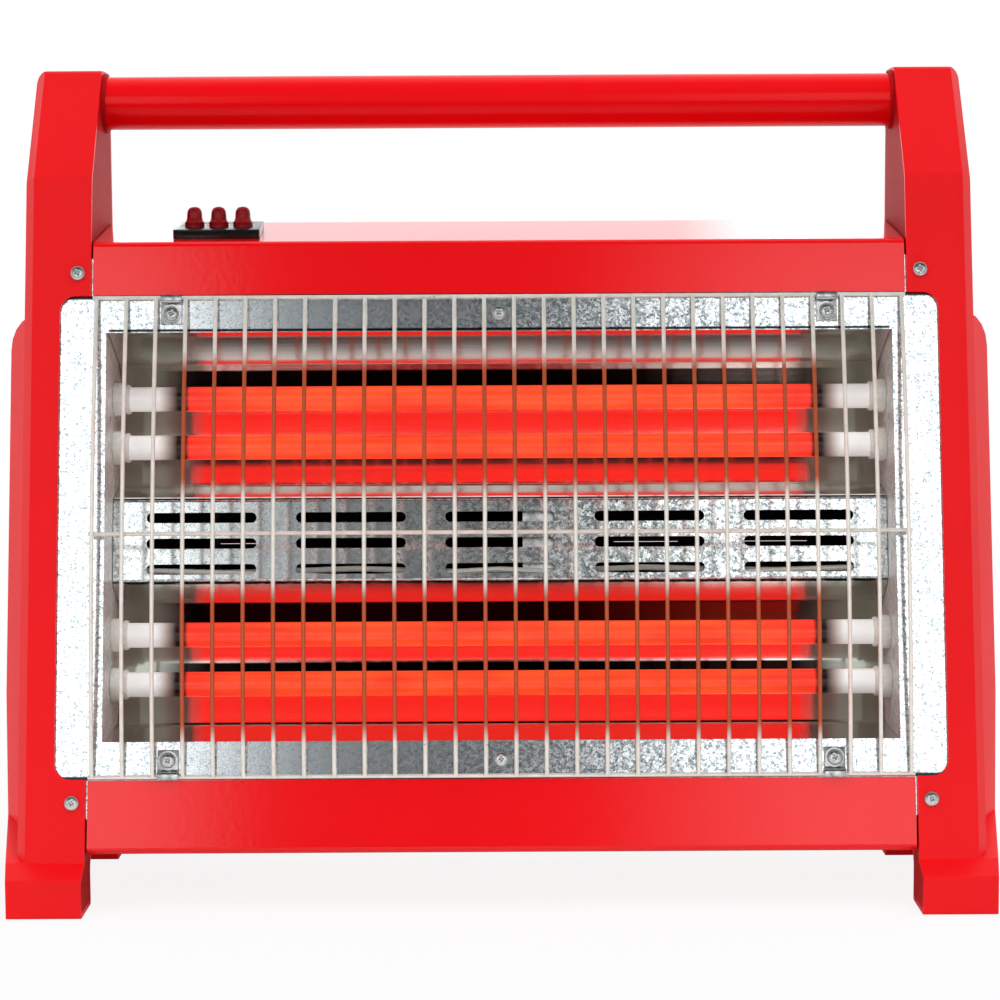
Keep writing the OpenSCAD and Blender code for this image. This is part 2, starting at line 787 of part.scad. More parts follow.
module right_terminals() {
    color("gold") on_front() for (s = tube_s)
        difference() {
            translate([nut_x, tube_depth, s]) rotate([0, 90, 0])
                cylinder(r = 3.6, h = nut_t, $fn = 6);
            bar(nut_x - 1, nut_x + nut_t + 1, tube_depth, s, pin_r + seat / 2);
        }
}

module left_terminals() {
    mirror([1, 0, 0]) right_terminals();
}

// A flat strip that joins the pins from one tube to another
module bus(from, to) {
    on_front() difference() {
        translate([bus_x, tube_depth - 4, to - 5]) cube([zinc_t, 8, from - to + 10]);
        for (s = tube_s)
            bar(bus_x - 1, bus_x + zinc_t + 1, tube_depth, s, pin_r + seat / 2);
    }
}

module common_bus() {
    color("gold") mirror([1, 0, 0]) bus(tube_s[0], tube_s[3]);
}

module pair_bus() {
    color("gold") bus(tube_s[2], tube_s[3]);
}

// ---- Grille -----------------------------------------------------------------

module upright_wire(x) {
    sweep = asin(cross_s / bow_r);
    translate([x, wire_depth - cross_off - wire_bow + bow_r, mid_s]) rotate([90, 0, 90])
        rotate([0, 0, 180 - sweep]) rotate_extrude(angle = 2 * sweep)
        translate([bow_r, 0]) circle(r = wire_r, $fn = wire_sides);
}

module cross_wire(d, s) {
    end = wire_span / 2 + wire_lap;
    bar(-end, end, d, s, wire_r, $fn = wire_sides);
}

module wire_grille() {
    color([0.93, 0.94, 0.95]) on_front() {
        for (i = [0:wire_count - 1])
            upright_wire((i - (wire_count - 1) / 2) * wire_pitch);
        for (up = [-1, 1])
            cross_wire(wire_depth, mid_s + up * cross_s);
        cross_wire(wire_depth - wire_bow, mid_s);
    }
}

clip_w = 10;
clip_t = 1;
hook_w = 8;
clip_front = frame_d - seat / 3 - clip_t;

// A clip: a flat foot under a screw, and a hook over the cross wire
module clip(x, up) {
    hook = wire_r + 0.2;
    hook_front = wire_depth - hook - clip_t;
    translate([x, 0, mid_s]) mirror([0, 0, up > 0 ? 0 : 1]) difference() {
        union() {
            translate([-clip_w / 2, clip_front, band_mid - clip_w / 2])
                cube([clip_w, clip_t, cross_s - band_mid + clip_w / 2 - wire_r - 0.8]);
            translate([-hook_w / 2, hook_front, cross_s - hook - 2 * clip_t])
                cube([hook_w, clip_front + clip_t - hook_front, 2 * clip_t]);
            translate([-hook_w / 2, hook_front, cross_s - hook - clip_t])
                cube([hook_w, clip_t, 2 * hook]);
        }
        into_front(0, band_mid, -5, 5, shank_r + seat / 2);
    }
}

module grille_clips() {
    color([0.88, 0.89, 0.90]) on_front() for (side = [-1, 1]) {
        clip(side * clip_x, 1);
        clip(side * clip_x, -1);
    }
}

module clip_screws() {
    color("silver") on_front() for (side = [-1, 1]) {
        front_screw(side * clip_x, mid_s + band_mid, clip_front, sheet_screw_l);
        front_screw(side * clip_x, mid_s - band_mid, clip_front, sheet_screw_l);
    }
}

module band_screws() {
    color("silver") on_front() for (up = [-1, 1])
        front_screw(0, mid_s + up * band_mid, frame_d, sheet_screw_l);
}

module cheek_screws() {
    color("silver") on_front() for (side = [-1, 1], up = [-1, 1])
        front_screw(side * cheek_screw_x, mid_s + up * cheek_screw_s, 0, cheek_screw_l);
}

// ---- Switch -----------------------------------------------------------------

switch_body_w = 38;
switch_body_l = 22;
switch_body_h = 15;
key_tail = 7.5;
skirt_low = 1.2;

module switch_housing() {
    color([0.08, 0.08, 0.08]) on_top() translate([-switch_x, switch_mid, seat / 2])
        difference() {
            union() {
                linear_extrude(switch_h) polygon(rounded([
                    [-switch_w / 2, -switch_l / 2, 1.5], [switch_w / 2, -switch_l / 2, 1.5],
                    [switch_w / 2, switch_l / 2, 1.5], [-switch_w / 2, switch_l / 2, 1.5]]));
                for (i = [-1:1])
                    translate([i * key_pitch, 0, 0]) cylinder(r = collar_r, h = switch_h + collar_h);
                translate([-switch_body_w / 2, -switch_body_l / 2, -switch_body_h])
                    cube([switch_body_w, switch_body_l, switch_body_h + eps]);
            }
            for (i = [-1:1])
                translate([i * key_pitch, 0, -switch_body_h + 3])
                    cylinder(r = socket_r, h = 40);
            bar(-key_pitch - socket_r - 1, key_pitch + socket_r + 1, 0, pivot_h,
                pivot_pin_r + running);
        }
}

module switch_key(i) {
    color([0.62, 0.03, 0.05]) on_top()
        translate([i * key_pitch - switch_x, switch_mid, seat / 2 + pivot_h]) {
            rotate([-key_tilt, 0, 0]) {
                intersection() {
                    sphere(r = ball_r);
                    translate([-10, -10, -3]) cube([20, 20, 20]);
                }
                translate([0, 0, skirt_low]) cylinder(r1 = sqrt(pow(ball_r, 2) - pow(skirt_low, 2)),
                    r2 = key_d / 2, h = skirt_h - skirt_low);
                cylinder(r = key_d / 2, h = key_h - key_d / 2);
                translate([0, 0, key_h - key_d / 2]) sphere(r = key_d / 2);
                translate([0, 0, -key_tail]) cylinder(r = 1.4, h = key_tail - 1.5);
            }
            bar(-ball_r - 0.8, ball_r + 0.8, 0, 0, pivot_pin_r);
        }
}

module switch_key_1() switch_key(-1);
module switch_key_2() switch_key(0);
module switch_key_3() switch_key(1);

// ---- Inside -----------------------------------------------------------------

lead_r = 1.4;
lead_y = 104;
lead_z = 297;
lead_gap = 3.4;
lead_sides = 8;
lead_turn = 11;
rear_run_y = 121;
block_w = 34;
block_l = 18;
block_h = 14;
block_y = 88;
switch_y = housing_fold[0] - front_set + switch_mid;
block_x = x_in - 56;
inlet_x = block_x;
inlet_up = 24;
inlet_z = cover_low + inlet_up;
floor_z = pan_fold[1] + red_t + seat;
bush_wall = 1.6;
bush_rim = 3.2;
bush_out = 2;
bush_in = red_t + 2.5;

// Where a lead starts, just under the switch's tilted body at depth y
function under_switch(x, y) =
    let (plane = housing_fold[1] + (y + front_set - housing_fold[0]) * tan(top_rise))
    let (low = plane - (switch_body_h - seat / 2) / cos(top_rise))
    [x, y, low - lead_r * tan(top_rise) - seat];

// A lead of eight sides through the given points, its runs lapped and turned at each bend
module lead(points, r) {
    last = len(points) - 2;
    for (i = [0:last]) {
        run = points[i + 1] - points[i];
        before = i == 0 ? 0 : r / 2;
        after = i == last ? 0 : r / 2;
        translate(points[i]) rotate([0, acos(run[2] / norm(run)), atan2(run[1], run[0])])
            rotate([0, 0, lead_turn * i]) translate([0, 0, -before])
            cylinder(r = r, h = before + norm(run) + after, $fn = lead_sides);
    }
}

module terminal_block() {
    color([0.9, 0.9, 0.86]) translate([-block_x - block_w / 2, block_y - front_set, floor_z])
        difference() {
            cube([block_w, block_l, block_h]);
            for (i = [0:2])
                translate([6 + i * 11, block_l / 2, 6]) cylinder(r = 3, h = 20);
        }
}

// Two leads from the terminal block up behind the troughs to the switch
module block_leads() {
    y = rear_run_y - front_set;
    color([0.2, 0.2, 0.2]) for (k = [-1, 1])
        lead([[-switch_x + 5 * k, block_y + block_l / 2 - front_set, floor_z + block_h + seat],
            [-switch_x + 5 * k, y - 6, floor_z + block_h * 2],
            [-switch_x + 5 * k, y, floor_z + block_h * 3 + 2],
            [-switch_x + 8 * k, y, lead_z - 20],
            [-switch_x + 6 * k, switch_y + 5, lead_z - 4],
            under_switch(-switch_x + 6 * k, switch_y + 5)], lead_r);
}

// Three leads from the switch through the right cheek to the tubes' pins
module switch_leads() {
    pin_y = [for (s = tube_s) lean_y(s, tube_depth) - front_set];
    pin_z = [for (s = tube_s) lean_z(s, tube_depth)];
    color([0.92, 0.9, 0.82]) for (i = [0:2])
        let (y = lead_y - front_set + (1 - i) * lead_gap)
        let (x = pin_x + lead_r + seat + lead_gap * (2 - i))
        lead([under_switch(-switch_x + (i - 1) * key_pitch, switch_y - 3),
            [-switch_x + (i - 1) * key_pitch, switch_y - 3, lead_z + 1],
            [-switch_x + (i - 1) * key_pitch, y, lead_z],
            [x, y, lead_z],
            [x, pin_y[i] + 6, pin_z[i] + 12],
            [x, pin_y[i], pin_z[i]],
            [pin_x + seat, pin_y[i], pin_z[i]]], lead_r);
}

// Two pale leads behind the slotted band, sagging between the end plates
module rear_leads() {
    sag = [[-end_x - 12, 2], [-110, -1], [-70, -3], [0, 1], [70, -3], [110, -1], [end_x + 12, 2]];
    color([0.93, 0.93, 0.9]) on_front() for (k = [0, 1])
        lead([for (p = sag) [p[0], band_d + 12.5 + 3.2 * k, mid_s - 16 + p[1] * (1 - 1.6 * k)]], lead_r);
}

module thermal_cutout() {
    color([0.75, 0.75, 0.72]) on_front() translate([20, band_d + band_lip + seat, mid_s]) {
        translate([-9, 0, -band_h / 2 + 1]) cube([18, zinc_t, band_h - 2]);
        into_front(0, 6, zinc_t - eps, zinc_t + 6, 7);
        translate([-5, 0, 0]) cube([1.2, zinc_t + 12, 6]);
        translate([4, 0, 0]) cube([1.2, zinc_t + 12, 6]);
    }
}

module tilt_switch() {
    color([0.1, 0.1, 0.1]) translate([x_in - 78, block_y - 2 - front_set, floor_z]) {
        cube([26, 18, 17]);
        translate([-6, 4, 0]) cube([38, 10, 2]);
    }
}

// A flanged bush in the rear cover for a lead
module inlet_bush() {
    color([0.07, 0.07, 0.07]) translate([-inlet_x, cover_y - front_set, inlet_z])
        rotate([-90, 0, 0]) difference() {
            union() {
                translate([0, 0, seat / 2]) cylinder(r = inlet_d / 2 + bush_rim, h = bush_out);
                translate([0, 0, -bush_in]) cylinder(r = inlet_d / 2 + bush_wall, h = bush_in + 0.5);
                translate([0, 0, -bush_in])
                    cylinder(r = inlet_d / 2 + bush_rim, h = bush_in - red_t - seat);
            }
            translate([0, 0, -10]) cylinder(r = inlet_d / 2, h = 20);
        }
}

left_cheek();
right_cheek();
left_liner();
right_liner();
handle_tube();
top_housing();
bottom_pan();
back_cover();
back_screws();
case_frame();
left_end_plate();
right_end_plate();
upper_reflector();
lower_reflector();
vent_band();
quartz_tube_1();
quartz_tube_2();
quartz_tube_3();
quartz_tube_4();
heating_coil_1();
heating_coil_2();
heating_coil_3();
heating_coil_4();
left_ceramics();
right_ceramics();
left_terminals();
right_terminals();
common_bus();
pair_bus();
wire_grille();
grille_clips();
clip_screws();
band_screws();
cheek_screws();
switch_housing();
switch_key_1();
switch_key_2();
switch_key_3();
switch_leads();
rear_leads();
block_leads();
terminal_block();
thermal_cutout();
tilt_switch();
inlet_bush();
foot_pads();
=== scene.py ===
import math
import bpy
from mathutils import Matrix, Vector


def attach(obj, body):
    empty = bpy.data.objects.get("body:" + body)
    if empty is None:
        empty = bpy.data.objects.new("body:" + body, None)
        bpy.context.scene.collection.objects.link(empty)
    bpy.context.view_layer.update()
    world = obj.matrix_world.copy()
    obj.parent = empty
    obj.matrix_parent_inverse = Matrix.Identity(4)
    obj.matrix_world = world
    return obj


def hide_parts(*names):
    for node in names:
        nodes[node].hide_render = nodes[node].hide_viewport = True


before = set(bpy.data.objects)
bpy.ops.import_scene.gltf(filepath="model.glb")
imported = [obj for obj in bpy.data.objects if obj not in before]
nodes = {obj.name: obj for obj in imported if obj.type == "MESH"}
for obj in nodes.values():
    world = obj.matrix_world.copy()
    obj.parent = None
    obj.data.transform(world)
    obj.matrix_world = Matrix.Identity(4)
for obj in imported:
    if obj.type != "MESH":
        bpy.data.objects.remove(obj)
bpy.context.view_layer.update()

mm = 0.001
weldCad = 0.000004  # metres within which doubled vertices merge, in a CAD node's copy
weldOwn = 0.000002  # and in a shape made here
flatWithin = 0.6  # degrees between faces that count as one flat
sharpOver = 24.0  # degrees at an edge of a CAD node's copy that gets broken
print("frame loaded:", len(nodes), "nodes")


# the front, with its grille, troughs and tubes, leans back: (across, depth, height) to the world
leanAngle = 11.5  # degrees
frontDepth = 0.070  # metres before the centre, at the floor
leaned = Matrix.Translation((0, -frontDepth, 0)) @ Matrix.Rotation(math.radians(-leanAngle), 4, "X")
middle = 179.2  # mm up the lean to the middle of the window

# the photograph's angle
view = {
    "place": (0.0, -1.275, 0.311),  # metres, about level with the front edge of the top
    "focalPixels": 2625.0,  # in a frame 1000 pixels wide
    "pitchDown": 5.5,  # degrees
    "roll": 0.3,
}
cameraData = bpy.data.cameras.new("camera")
cameraData.sensor_width = 36.0
cameraData.lens = view["focalPixels"] / 1000.0 * cameraData.sensor_width
camera = bpy.data.objects.new("camera", cameraData)
bpy.context.scene.collection.objects.link(camera)
camera.matrix_world = (
    Matrix.Translation(view["place"])
    @ Matrix.Rotation(math.radians(90.0 - view["pitchDown"]), 4, "X")
    @ Matrix.Rotation(math.radians(-view["roll"]), 4, "Z")
)
bpy.context.scene.camera = camera
bpy.context.scene.view_settings.view_transform = "Standard"


def linearColour(hexText):
    # sRGB hex to the linear values that the shaders take
    channels = [int(hexText[i : i + 2], 16) / 255.0 for i in (0, 2, 4)]
    return tuple(
        c / 12.92 if c <= 0.04045 else ((c + 0.055) / 1.055) ** 2.4 for c in channels
    ) + (1.0,)


def addNode(tree, kind, inputs=None, stops=(), **settings):
    # one node, its settings, its values or links by socket name or number, and a ramp's stops
    node = tree.nodes.new("ShaderNode" + kind)
    for name, value in settings.items():
        setattr(node, name, value)
    for name, value in (inputs or {}).items():
        if isinstance(value, bpy.types.NodeSocket):
            tree.links.new(value, node.inputs[name])
        else:
            node.inputs[name].default_value = value
    while stops and len(node.color_ramp.elements) < len(stops):
        node.color_ramp.elements.new(0.5)
    for index, (place, colour) in enumerate(stops):
        node.color_ramp.elements[index].position = place
        node.color_ramp.elements[index].color = colour
    return node


def deselectAll():
    if bpy.context.object and bpy.context.object.mode != "OBJECT":
        bpy.ops.object.mode_set(mode="OBJECT")
    bpy.ops.object.select_all(action="DESELECT")


def takeUp(piece):
    # the piece alone is selected and active
    deselectAll()
    piece.select_set(True)
    bpy.context.view_layer.objects.active = piece


def settle(piece):
    # place, turn and scale go into the mesh
    takeUp(piece)
    bpy.ops.object.transform_apply(location=True, rotation=True, scale=True)


def applyModifiers(piece):
    takeUp(piece)
    for modifier in list(piece.modifiers):
        bpy.ops.object.modifier_apply(modifier=modifier.name)


def smoothByAngle(piece, angle):
    takeUp(piece)
    bpy.ops.object.shade_smooth_by_angle(angle=math.radians(angle))


def rounded(piece, radius, segments, angle, smoothAngle=35.0, miter="MITER_SHARP"):
    # edges sharper than the angle in degrees are broken by a radius in mm
    bevel = piece.modifiers.new("edges", "BEVEL")
    bevel.width = radius * mm
    bevel.segments = segments
    bevel.limit_method = "ANGLE"
    bevel.angle_limit = math.radians(angle)
    bevel.miter_outer = miter
    applyModifiers(piece)
    smoothByAngle(piece, smoothAngle)


def copyOf(piece, name):
    twin = piece.copy()
    twin.data = piece.data.copy()
    twin.name = name
    bpy.context.scene.collection.objects.link(twin)
    return twin


def softened(node, name, radius=0.0, smoothAngle=32.0):
    # a welded copy of a CAD node, its sharp edges broken by a small radius in mm
    piece = copyOf(nodes[node], name)
    piece.data.name = name
    piece.parent = None
    for key in list(piece.keys()):
        del piece[key]
    edit(piece)
    bpy.ops.mesh.select_all(action="SELECT")
    bpy.ops.mesh.customdata_custom_splitnormals_clear()
    bpy.ops.mesh.remove_doubles(threshold=weldCad)
    if radius:
        bpy.ops.mesh.dissolve_limited(angle_limit=math.radians(flatWithin))
    bpy.ops.object.mode_set(mode="OBJECT")
    if radius:
        rounded(piece, radius, 2, sharpOver, smoothAngle, "MITER_ARC")
    else:
        smoothByAngle(piece, smoothAngle)
    weighted = piece.modifiers.new("flats", "WEIGHTED_NORMAL")
    weighted.keep_sharp = True
    applyModifiers(piece)
    return piece


def edit(piece, mode="VERT"):
    # edit mode on the piece alone, with nothing selected
    takeUp(piece)
    bpy.ops.object.mode_set(mode="EDIT")
    bpy.ops.mesh.select_mode(type=mode)
    bpy.ops.mesh.select_all(action="DESELECT")


def pick(piece, faces=None, edges=None, verts=None):
    # selects, in edit mode, what the given test of a face, edge or vertex says yes to
    bpy.ops.object.mode_set(mode="OBJECT")
    mesh = piece.data
    for kind, test in ((mesh.polygons, faces), (mesh.edges, edges), (mesh.vertices, verts)):
        if test:
            for element in kind:
                element.select = bool(test(element))
    bpy.ops.object.mode_set(mode="EDIT")


def edgeEnds(piece, edge):
    return [piece.data.vertices[i].co for i in edge.vertices]


def closeUp(piece):
    # doubles merged and every face turned outward
    edit(piece)
    bpy.ops.mesh.select_all(action="SELECT")
    bpy.ops.mesh.remove_doubles(threshold=weldOwn)
    bpy.ops.mesh.normals_make_consistent(inside=False)
    bpy.ops.object.mode_set(mode="OBJECT")


def turned(name, rings, sides, hollow=False):
    # a lathe-turned shape on Z, in mm: a circle extruded from ring to ring of (radius, height)
    deselectAll()
    bpy.ops.mesh.primitive_circle_add(
        vertices=sides,
        radius=rings[0][0] * mm,
        fill_type="NOTHING" if hollow else "NGON",
        location=(0, 0, rings[0][1] * mm),
    )
    piece = bpy.context.object
    piece.name = name
    settle(piece)
    edit(piece, "EDGE")
    bpy.ops.mesh.select_all(action="SELECT")
    for (wide, low), (nextWide, high) in zip(rings, rings[1:]):
        bpy.ops.mesh.extrude_edges_move(TRANSFORM_OT_translate={"value": (0, 0, (high - low) * mm)})
        share = nextWide / wide
        bpy.ops.transform.resize(value=(share, share, 1.0), center_override=(0, 0, high * mm))
    if not hollow:
        bpy.ops.mesh.edge_face_add()
    closeUp(piece)
    return piece


def folded(name, path, halfWidth, gauge):
    # folded sheet, in mm: an edge across the piece extruded along (depth, height, fold radius)
    deselectAll()
    bpy.ops.mesh.primitive_plane_add(size=2 * halfWidth * mm)
    piece = bpy.context.object
    piece.name = name
    edit(piece)
    pick(piece, verts=lambda v: v.co.y > 0)
    bpy.ops.mesh.delete(type="VERT")
    bpy.ops.mesh.select_all(action="SELECT")
    bpy.ops.transform.translate(value=(0, path[0][0] * mm + halfWidth * mm, path[0][1] * mm))
    bpy.ops.mesh.select_mode(type="EDGE")
    for here, there in zip(path, path[1:]):
        step = (0, (there[0] - here[0]) * mm, (there[1] - here[1]) * mm)
        bpy.ops.mesh.extrude_edges_move(TRANSFORM_OT_translate={"value": step})
    for index, (depth, height, radius) in enumerate(path):
        if not radius:
            continue
        before = Vector((path[index - 1][0] - depth, path[index - 1][1] - height))
        after = Vector((path[index + 1][0] - depth, path[index + 1][1] - height))
        turn = math.pi - before.angle(after)
        corner = Vector((0, depth * mm, height * mm))
        bpy.ops.mesh.select_all(action="DESELECT")
        pick(
            piece,
            edges=lambda e: all((Vector((0, v.y, v.z)) - corner).length < 1e-5 for v in edgeEnds(piece, e)),
        )
        bpy.ops.mesh.bevel(offset=radius * mm * math.tan(turn / 2), segments=5, affect="EDGES")
    closeUp(piece)
    wall = piece.modifiers.new("gauge", "SOLIDIFY")
    wall.thickness = gauge * mm
    wall.offset = 0.0
    applyModifiers(piece)
    return piece


def placed(piece, matrix):
    piece.matrix_world = matrix @ piece.matrix_world
    settle(piece)
    return piece


def joined(name, pieces):
    deselectAll()
    for piece in pieces:
        piece.select_set(True)
    bpy.context.view_layer.objects.active = pieces[0]
    bpy.ops.object.join()
    pieces[0].name = name
    pieces[0].data.name = name
    return pieces[0]


def cutWith(piece, cutter):
    # a boolean cut, after which the cutter goes
    cut = piece.modifiers.new("cut", "BOOLEAN")
    cut.operation = "DIFFERENCE"
    cut.solver = "EXACT"
    cut.object = cutter
    applyModifiers(piece)
    bpy.data.objects.remove(cutter, do_unlink=True)


def finishPiece(piece, material, body, slotName, *replaced):
    piece.data.materials.clear()
    piece.data.materials.append(material)
    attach(piece, body)
    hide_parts(*replaced)


def newMaterial(name):
    material = bpy.data.materials.new(name)
    material.use_nodes = True
    tree = material.node_tree
    tree.nodes.clear()
    shader = addNode(tree, "BsdfPrincipled")
    addNode(tree, "OutputMaterial", {"Surface": shader.outputs[0]})
    return material, tree, shader


def objectPoint(tree, scale=(1.0, 1.0, 1.0)):
    # Object coordinates, stretched where a pattern has a grain
    point = addNode(tree, "TexCoord").outputs["Object"]
    return addNode(tree, "Mapping", {"Vector": point, "Scale": scale}).outputs[0]


def leanedPlace(tree):
    # the place in the leaned front, X across, Y deep and Z high, and how far it is from the centre
    point = addNode(tree, "TexCoord").outputs["Object"]
    turn = math.radians(leanAngle)
    shift = (0.0, frontDepth * math.cos(turn), frontDepth * math.sin(turn))
    place = addNode(tree, "Mapping", {"Vector": point, "Rotation": (turn, 0.0, 0.0), "Location": shift})
    place = addNode(tree, "SeparateXYZ", {0: place.outputs[0]}).outputs
    return place, addNode(tree, "Math", {0: place["X"]}, operation="ABSOLUTE").outputs[0]


def grey(value):
    return (value, value, value, 1.0)


# moulded ABS, semi-gloss: a fine moulded grain that breaks the reflections up
def mouldedAbs(name, hexText, darkHex, roughness, shine):
    material, tree, shader = newMaterial(name)
    point = objectPoint(tree)
    # clouds of tone some 70 mm across
    cloud = addNode(tree, "TexNoise", {"Vector": point, "Scale": 14.0, "Detail": 3.0})
    colour = addNode(
        tree,
        "ValToRGB",
        {0: cloud.outputs["Fac"]},
        stops=((0.3, linearColour(darkHex)), (0.7, linearColour(hexText))),
    )
    # moulded grain of about 1.2 mm, drawn coarser than the real 0.3 mm to show
    grain = addNode(tree, "TexNoise", {"Vector": point, "Scale": 1 / (1.2 * mm), "Detail": 2.0})
    rough = addNode(
        tree,
        "ValToRGB",
        {0: grain.outputs["Fac"]},
        stops=((0.2, grey(roughness * 0.85)), (0.8, grey(roughness * 1.15))),
    )
    bump = addNode(tree, "Bump", {"Height": grain.outputs["Fac"], "Distance": 0.03 * mm, "Strength": 0.5})
    tree.links.new(colour.outputs[0], shader.inputs["Base Color"])
    tree.links.new(rough.outputs[0], shader.inputs["Roughness"])
    tree.links.new(bump.outputs[0], shader.inputs["Normal"])
    shader.inputs["IOR"].default_value = 1.52
    shader.inputs["Specular IOR Level"].default_value = shine
    return material


# powder-coated steel sheet: glossy, with the faint orange peel of baked powder
def powderCoat(name, hexText, darkHex, coat, shadedInside=False):
    material, tree, shader = newMaterial(name)
    point = objectPoint(tree)
    # clouds of tone some 110 mm across
    cloud = addNode(tree, "TexNoise", {"Vector": point, "Scale": 9.0, "Detail": 3.0})
    colour = addNode(
        tree,
        "ValToRGB",
        {0: cloud.outputs["Fac"]},
        stops=((0.3, linearColour(darkHex)), (0.7, linearColour(hexText))),
    ).outputs[0]
    # orange peel, about 3 mm from crest to crest
    peel = addNode(tree, "TexNoise", {"Vector": point, "Scale": 1 / (3.0 * mm), "Detail": 1.0})
    bump = addNode(tree, "Bump", {"Height": peel.outputs["Fac"], "Distance": 0.05 * mm, "Strength": 0.35})
    shader.inputs["Roughness"].default_value = 0.24
    shader.inputs["IOR"].default_value = 1.5
    shader.inputs["Specular IOR Level"].default_value = 0.3 if shadedInside else 0.1
    shader.inputs["Coat Weight"].default_value = coat
    shader.inputs["Coat Roughness"].default_value = 0.08
    shader.inputs["Coat IOR"].default_value = 1.36
    if shadedInside:  # painted shade: the faces that look into the case are painted near black, dull and uncoated, for the dark of the unlit inside
        facing = addNode(tree, "NewGeometry").outputs["True Normal"]
        toRear = addNode(tree, "SeparateXYZ", {0: facing}).outputs[1]
        inside = addNode(
            tree, "MapRange", {"Value": toRear, "From Min": -0.05, "From Max": -0.2}
        ).outputs[0]
        colour = addNode(
            tree, "Mix", {0: inside, 6: colour, 7: linearColour("120506")}, data_type="RGBA"
        ).outputs[2]
        rough = addNode(tree, "MapRange", {"Value": inside, "To Min": 0.24, "To Max": 0.8})
        coated = addNode(tree, "MapRange", {"Value": inside, "To Min": coat, "To Max": 0.0})
        tree.links.new(rough.outputs[0], shader.inputs["Roughness"])
        tree.links.new(coated.outputs[0], shader.inputs["Coat Weight"])
    tree.links.new(colour, shader.inputs["Base Color"])
    tree.links.new(bump.outputs[0], shader.inputs["Normal"])
    tree.links.new(bump.outputs[0], shader.inputs["Coat Normal"])
    return material


# hot-dip galvanised sheet: a spangle of frozen zinc crystals, each mirroring the room a little aslant
def spangledZinc(name, zinc):
    material, tree, shader = newMaterial(name)
    point = objectPoint(tree)
    warp = addNode(tree, "TexNoise", {"Vector": point, "Scale": 1 / (2.5 * mm), "Detail": 3.0})
    ragged = addNode(  # the crystals' edges wander by up to 1.4 mm
        tree,
        "VectorMath",
        {0: warp.outputs["Color"], 1: (1.4 * mm, 1.4 * mm, 1.4 * mm), 2: point},
        operation="MULTIPLY_ADD",
    )
    crystals = addNode(
        tree,
        "TexVoronoi",
        {"Vector": ragged.outputs[0], "Scale": 1 / (zinc["crystal"] * mm), "Randomness": 1.0},
    )
    frost = addNode(tree, "TexNoise", {"Vector": point, "Scale": 1 / (0.7 * mm), "Detail": 4.0})
    tone = addNode(tree, "SeparateColor", {0: crystals.outputs["Color"]})
    tone = addNode(tree, "Math", {0: tone.outputs[0], 1: 0.38}, operation="MULTIPLY")
    tone = addNode(
        tree, "Math", {0: frost.outputs["Fac"], 1: 0.95, 2: tone.outputs[0]}, operation="MULTIPLY_ADD"
    ).outputs[0]
    colour = addNode(
        tree,
        "ValToRGB",
        {0: tone},
        stops=((0.38, linearColour(zinc["darkHex"])), (0.85, linearColour(zinc["hex"]))),
    ).outputs[0]
    rough = addNode(
        tree,
        "ValToRGB",
        {0: tone},
        stops=((0.25, grey(zinc["roughness"] * 1.5)), (0.95, grey(zinc["roughness"]))),
    )
    # painted shade: a dark line along a cut or folded edge, and under the red boxes, where a neighbouring
    # part shades the sheet
    place, fromCentre = leanedPlace(tree)
    for up, halfWidth, reach in zinc.get("shadeLines", ()):
        fromShadeLine = addNode(tree, "Math", {0: place["Z"], 1: (middle + up) * mm}, operation="SUBTRACT")
        fromShadeLine = addNode(tree, "Math", {0: fromShadeLine.outputs[0]}, operation="ABSOLUTE")
        line = addNode(
            tree,
            "MapRange",
            {"Value": fromShadeLine.outputs[0], "From Min": halfWidth * mm, "From Max": 0.3 * halfWidth * mm},
            interpolation_type="SMOOTHSTEP",
        )
        within = addNode(
            tree, "MapRange", {"Value": fromCentre, "From Min": reach * mm, "From Max": (reach - 1) * mm}
        )
        line = addNode(tree, "Math", {0: line.outputs[0], 1: within.outputs[0]}, operation="MULTIPLY")
        colour = addNode(
            tree, "Mix", {0: line.outputs[0], 6: colour, 7: linearColour("1A1D20")}, data_type="RGBA"
        ).outputs[2]
    # each crystal leans its own way, and the frost on it a little more
    normal = addNode(tree, "NewGeometry").outputs["Normal"]
    for pattern, share in ((crystals, zinc["aslant"]), (frost, zinc["aslant"] * 1.3)):
        lean = addNode(
            tree, "VectorMath", {0: pattern.outputs["Color"], 1: (0.5, 0.5, 0.5)}, operation="SUBTRACT"
        )
        normal = addNode(
            tree,
            "VectorMath",
            {0: lean.outputs[0], 1: (share, share, share), 2: normal},
            operation="MULTIPLY_ADD",
        ).outputs[0]
    normal = addNode(tree, "VectorMath", {0: normal}, operation="NORMALIZE")
    tree.links.new(colour, shader.inputs["Base Color"])
    tree.links.new(rough.outputs[0], shader.inputs["Roughness"])
    tree.links.new(normal.outputs[0], shader.inputs["Normal"])
    shader.inputs["Metallic"].default_value = zinc["metallic"]
    return material


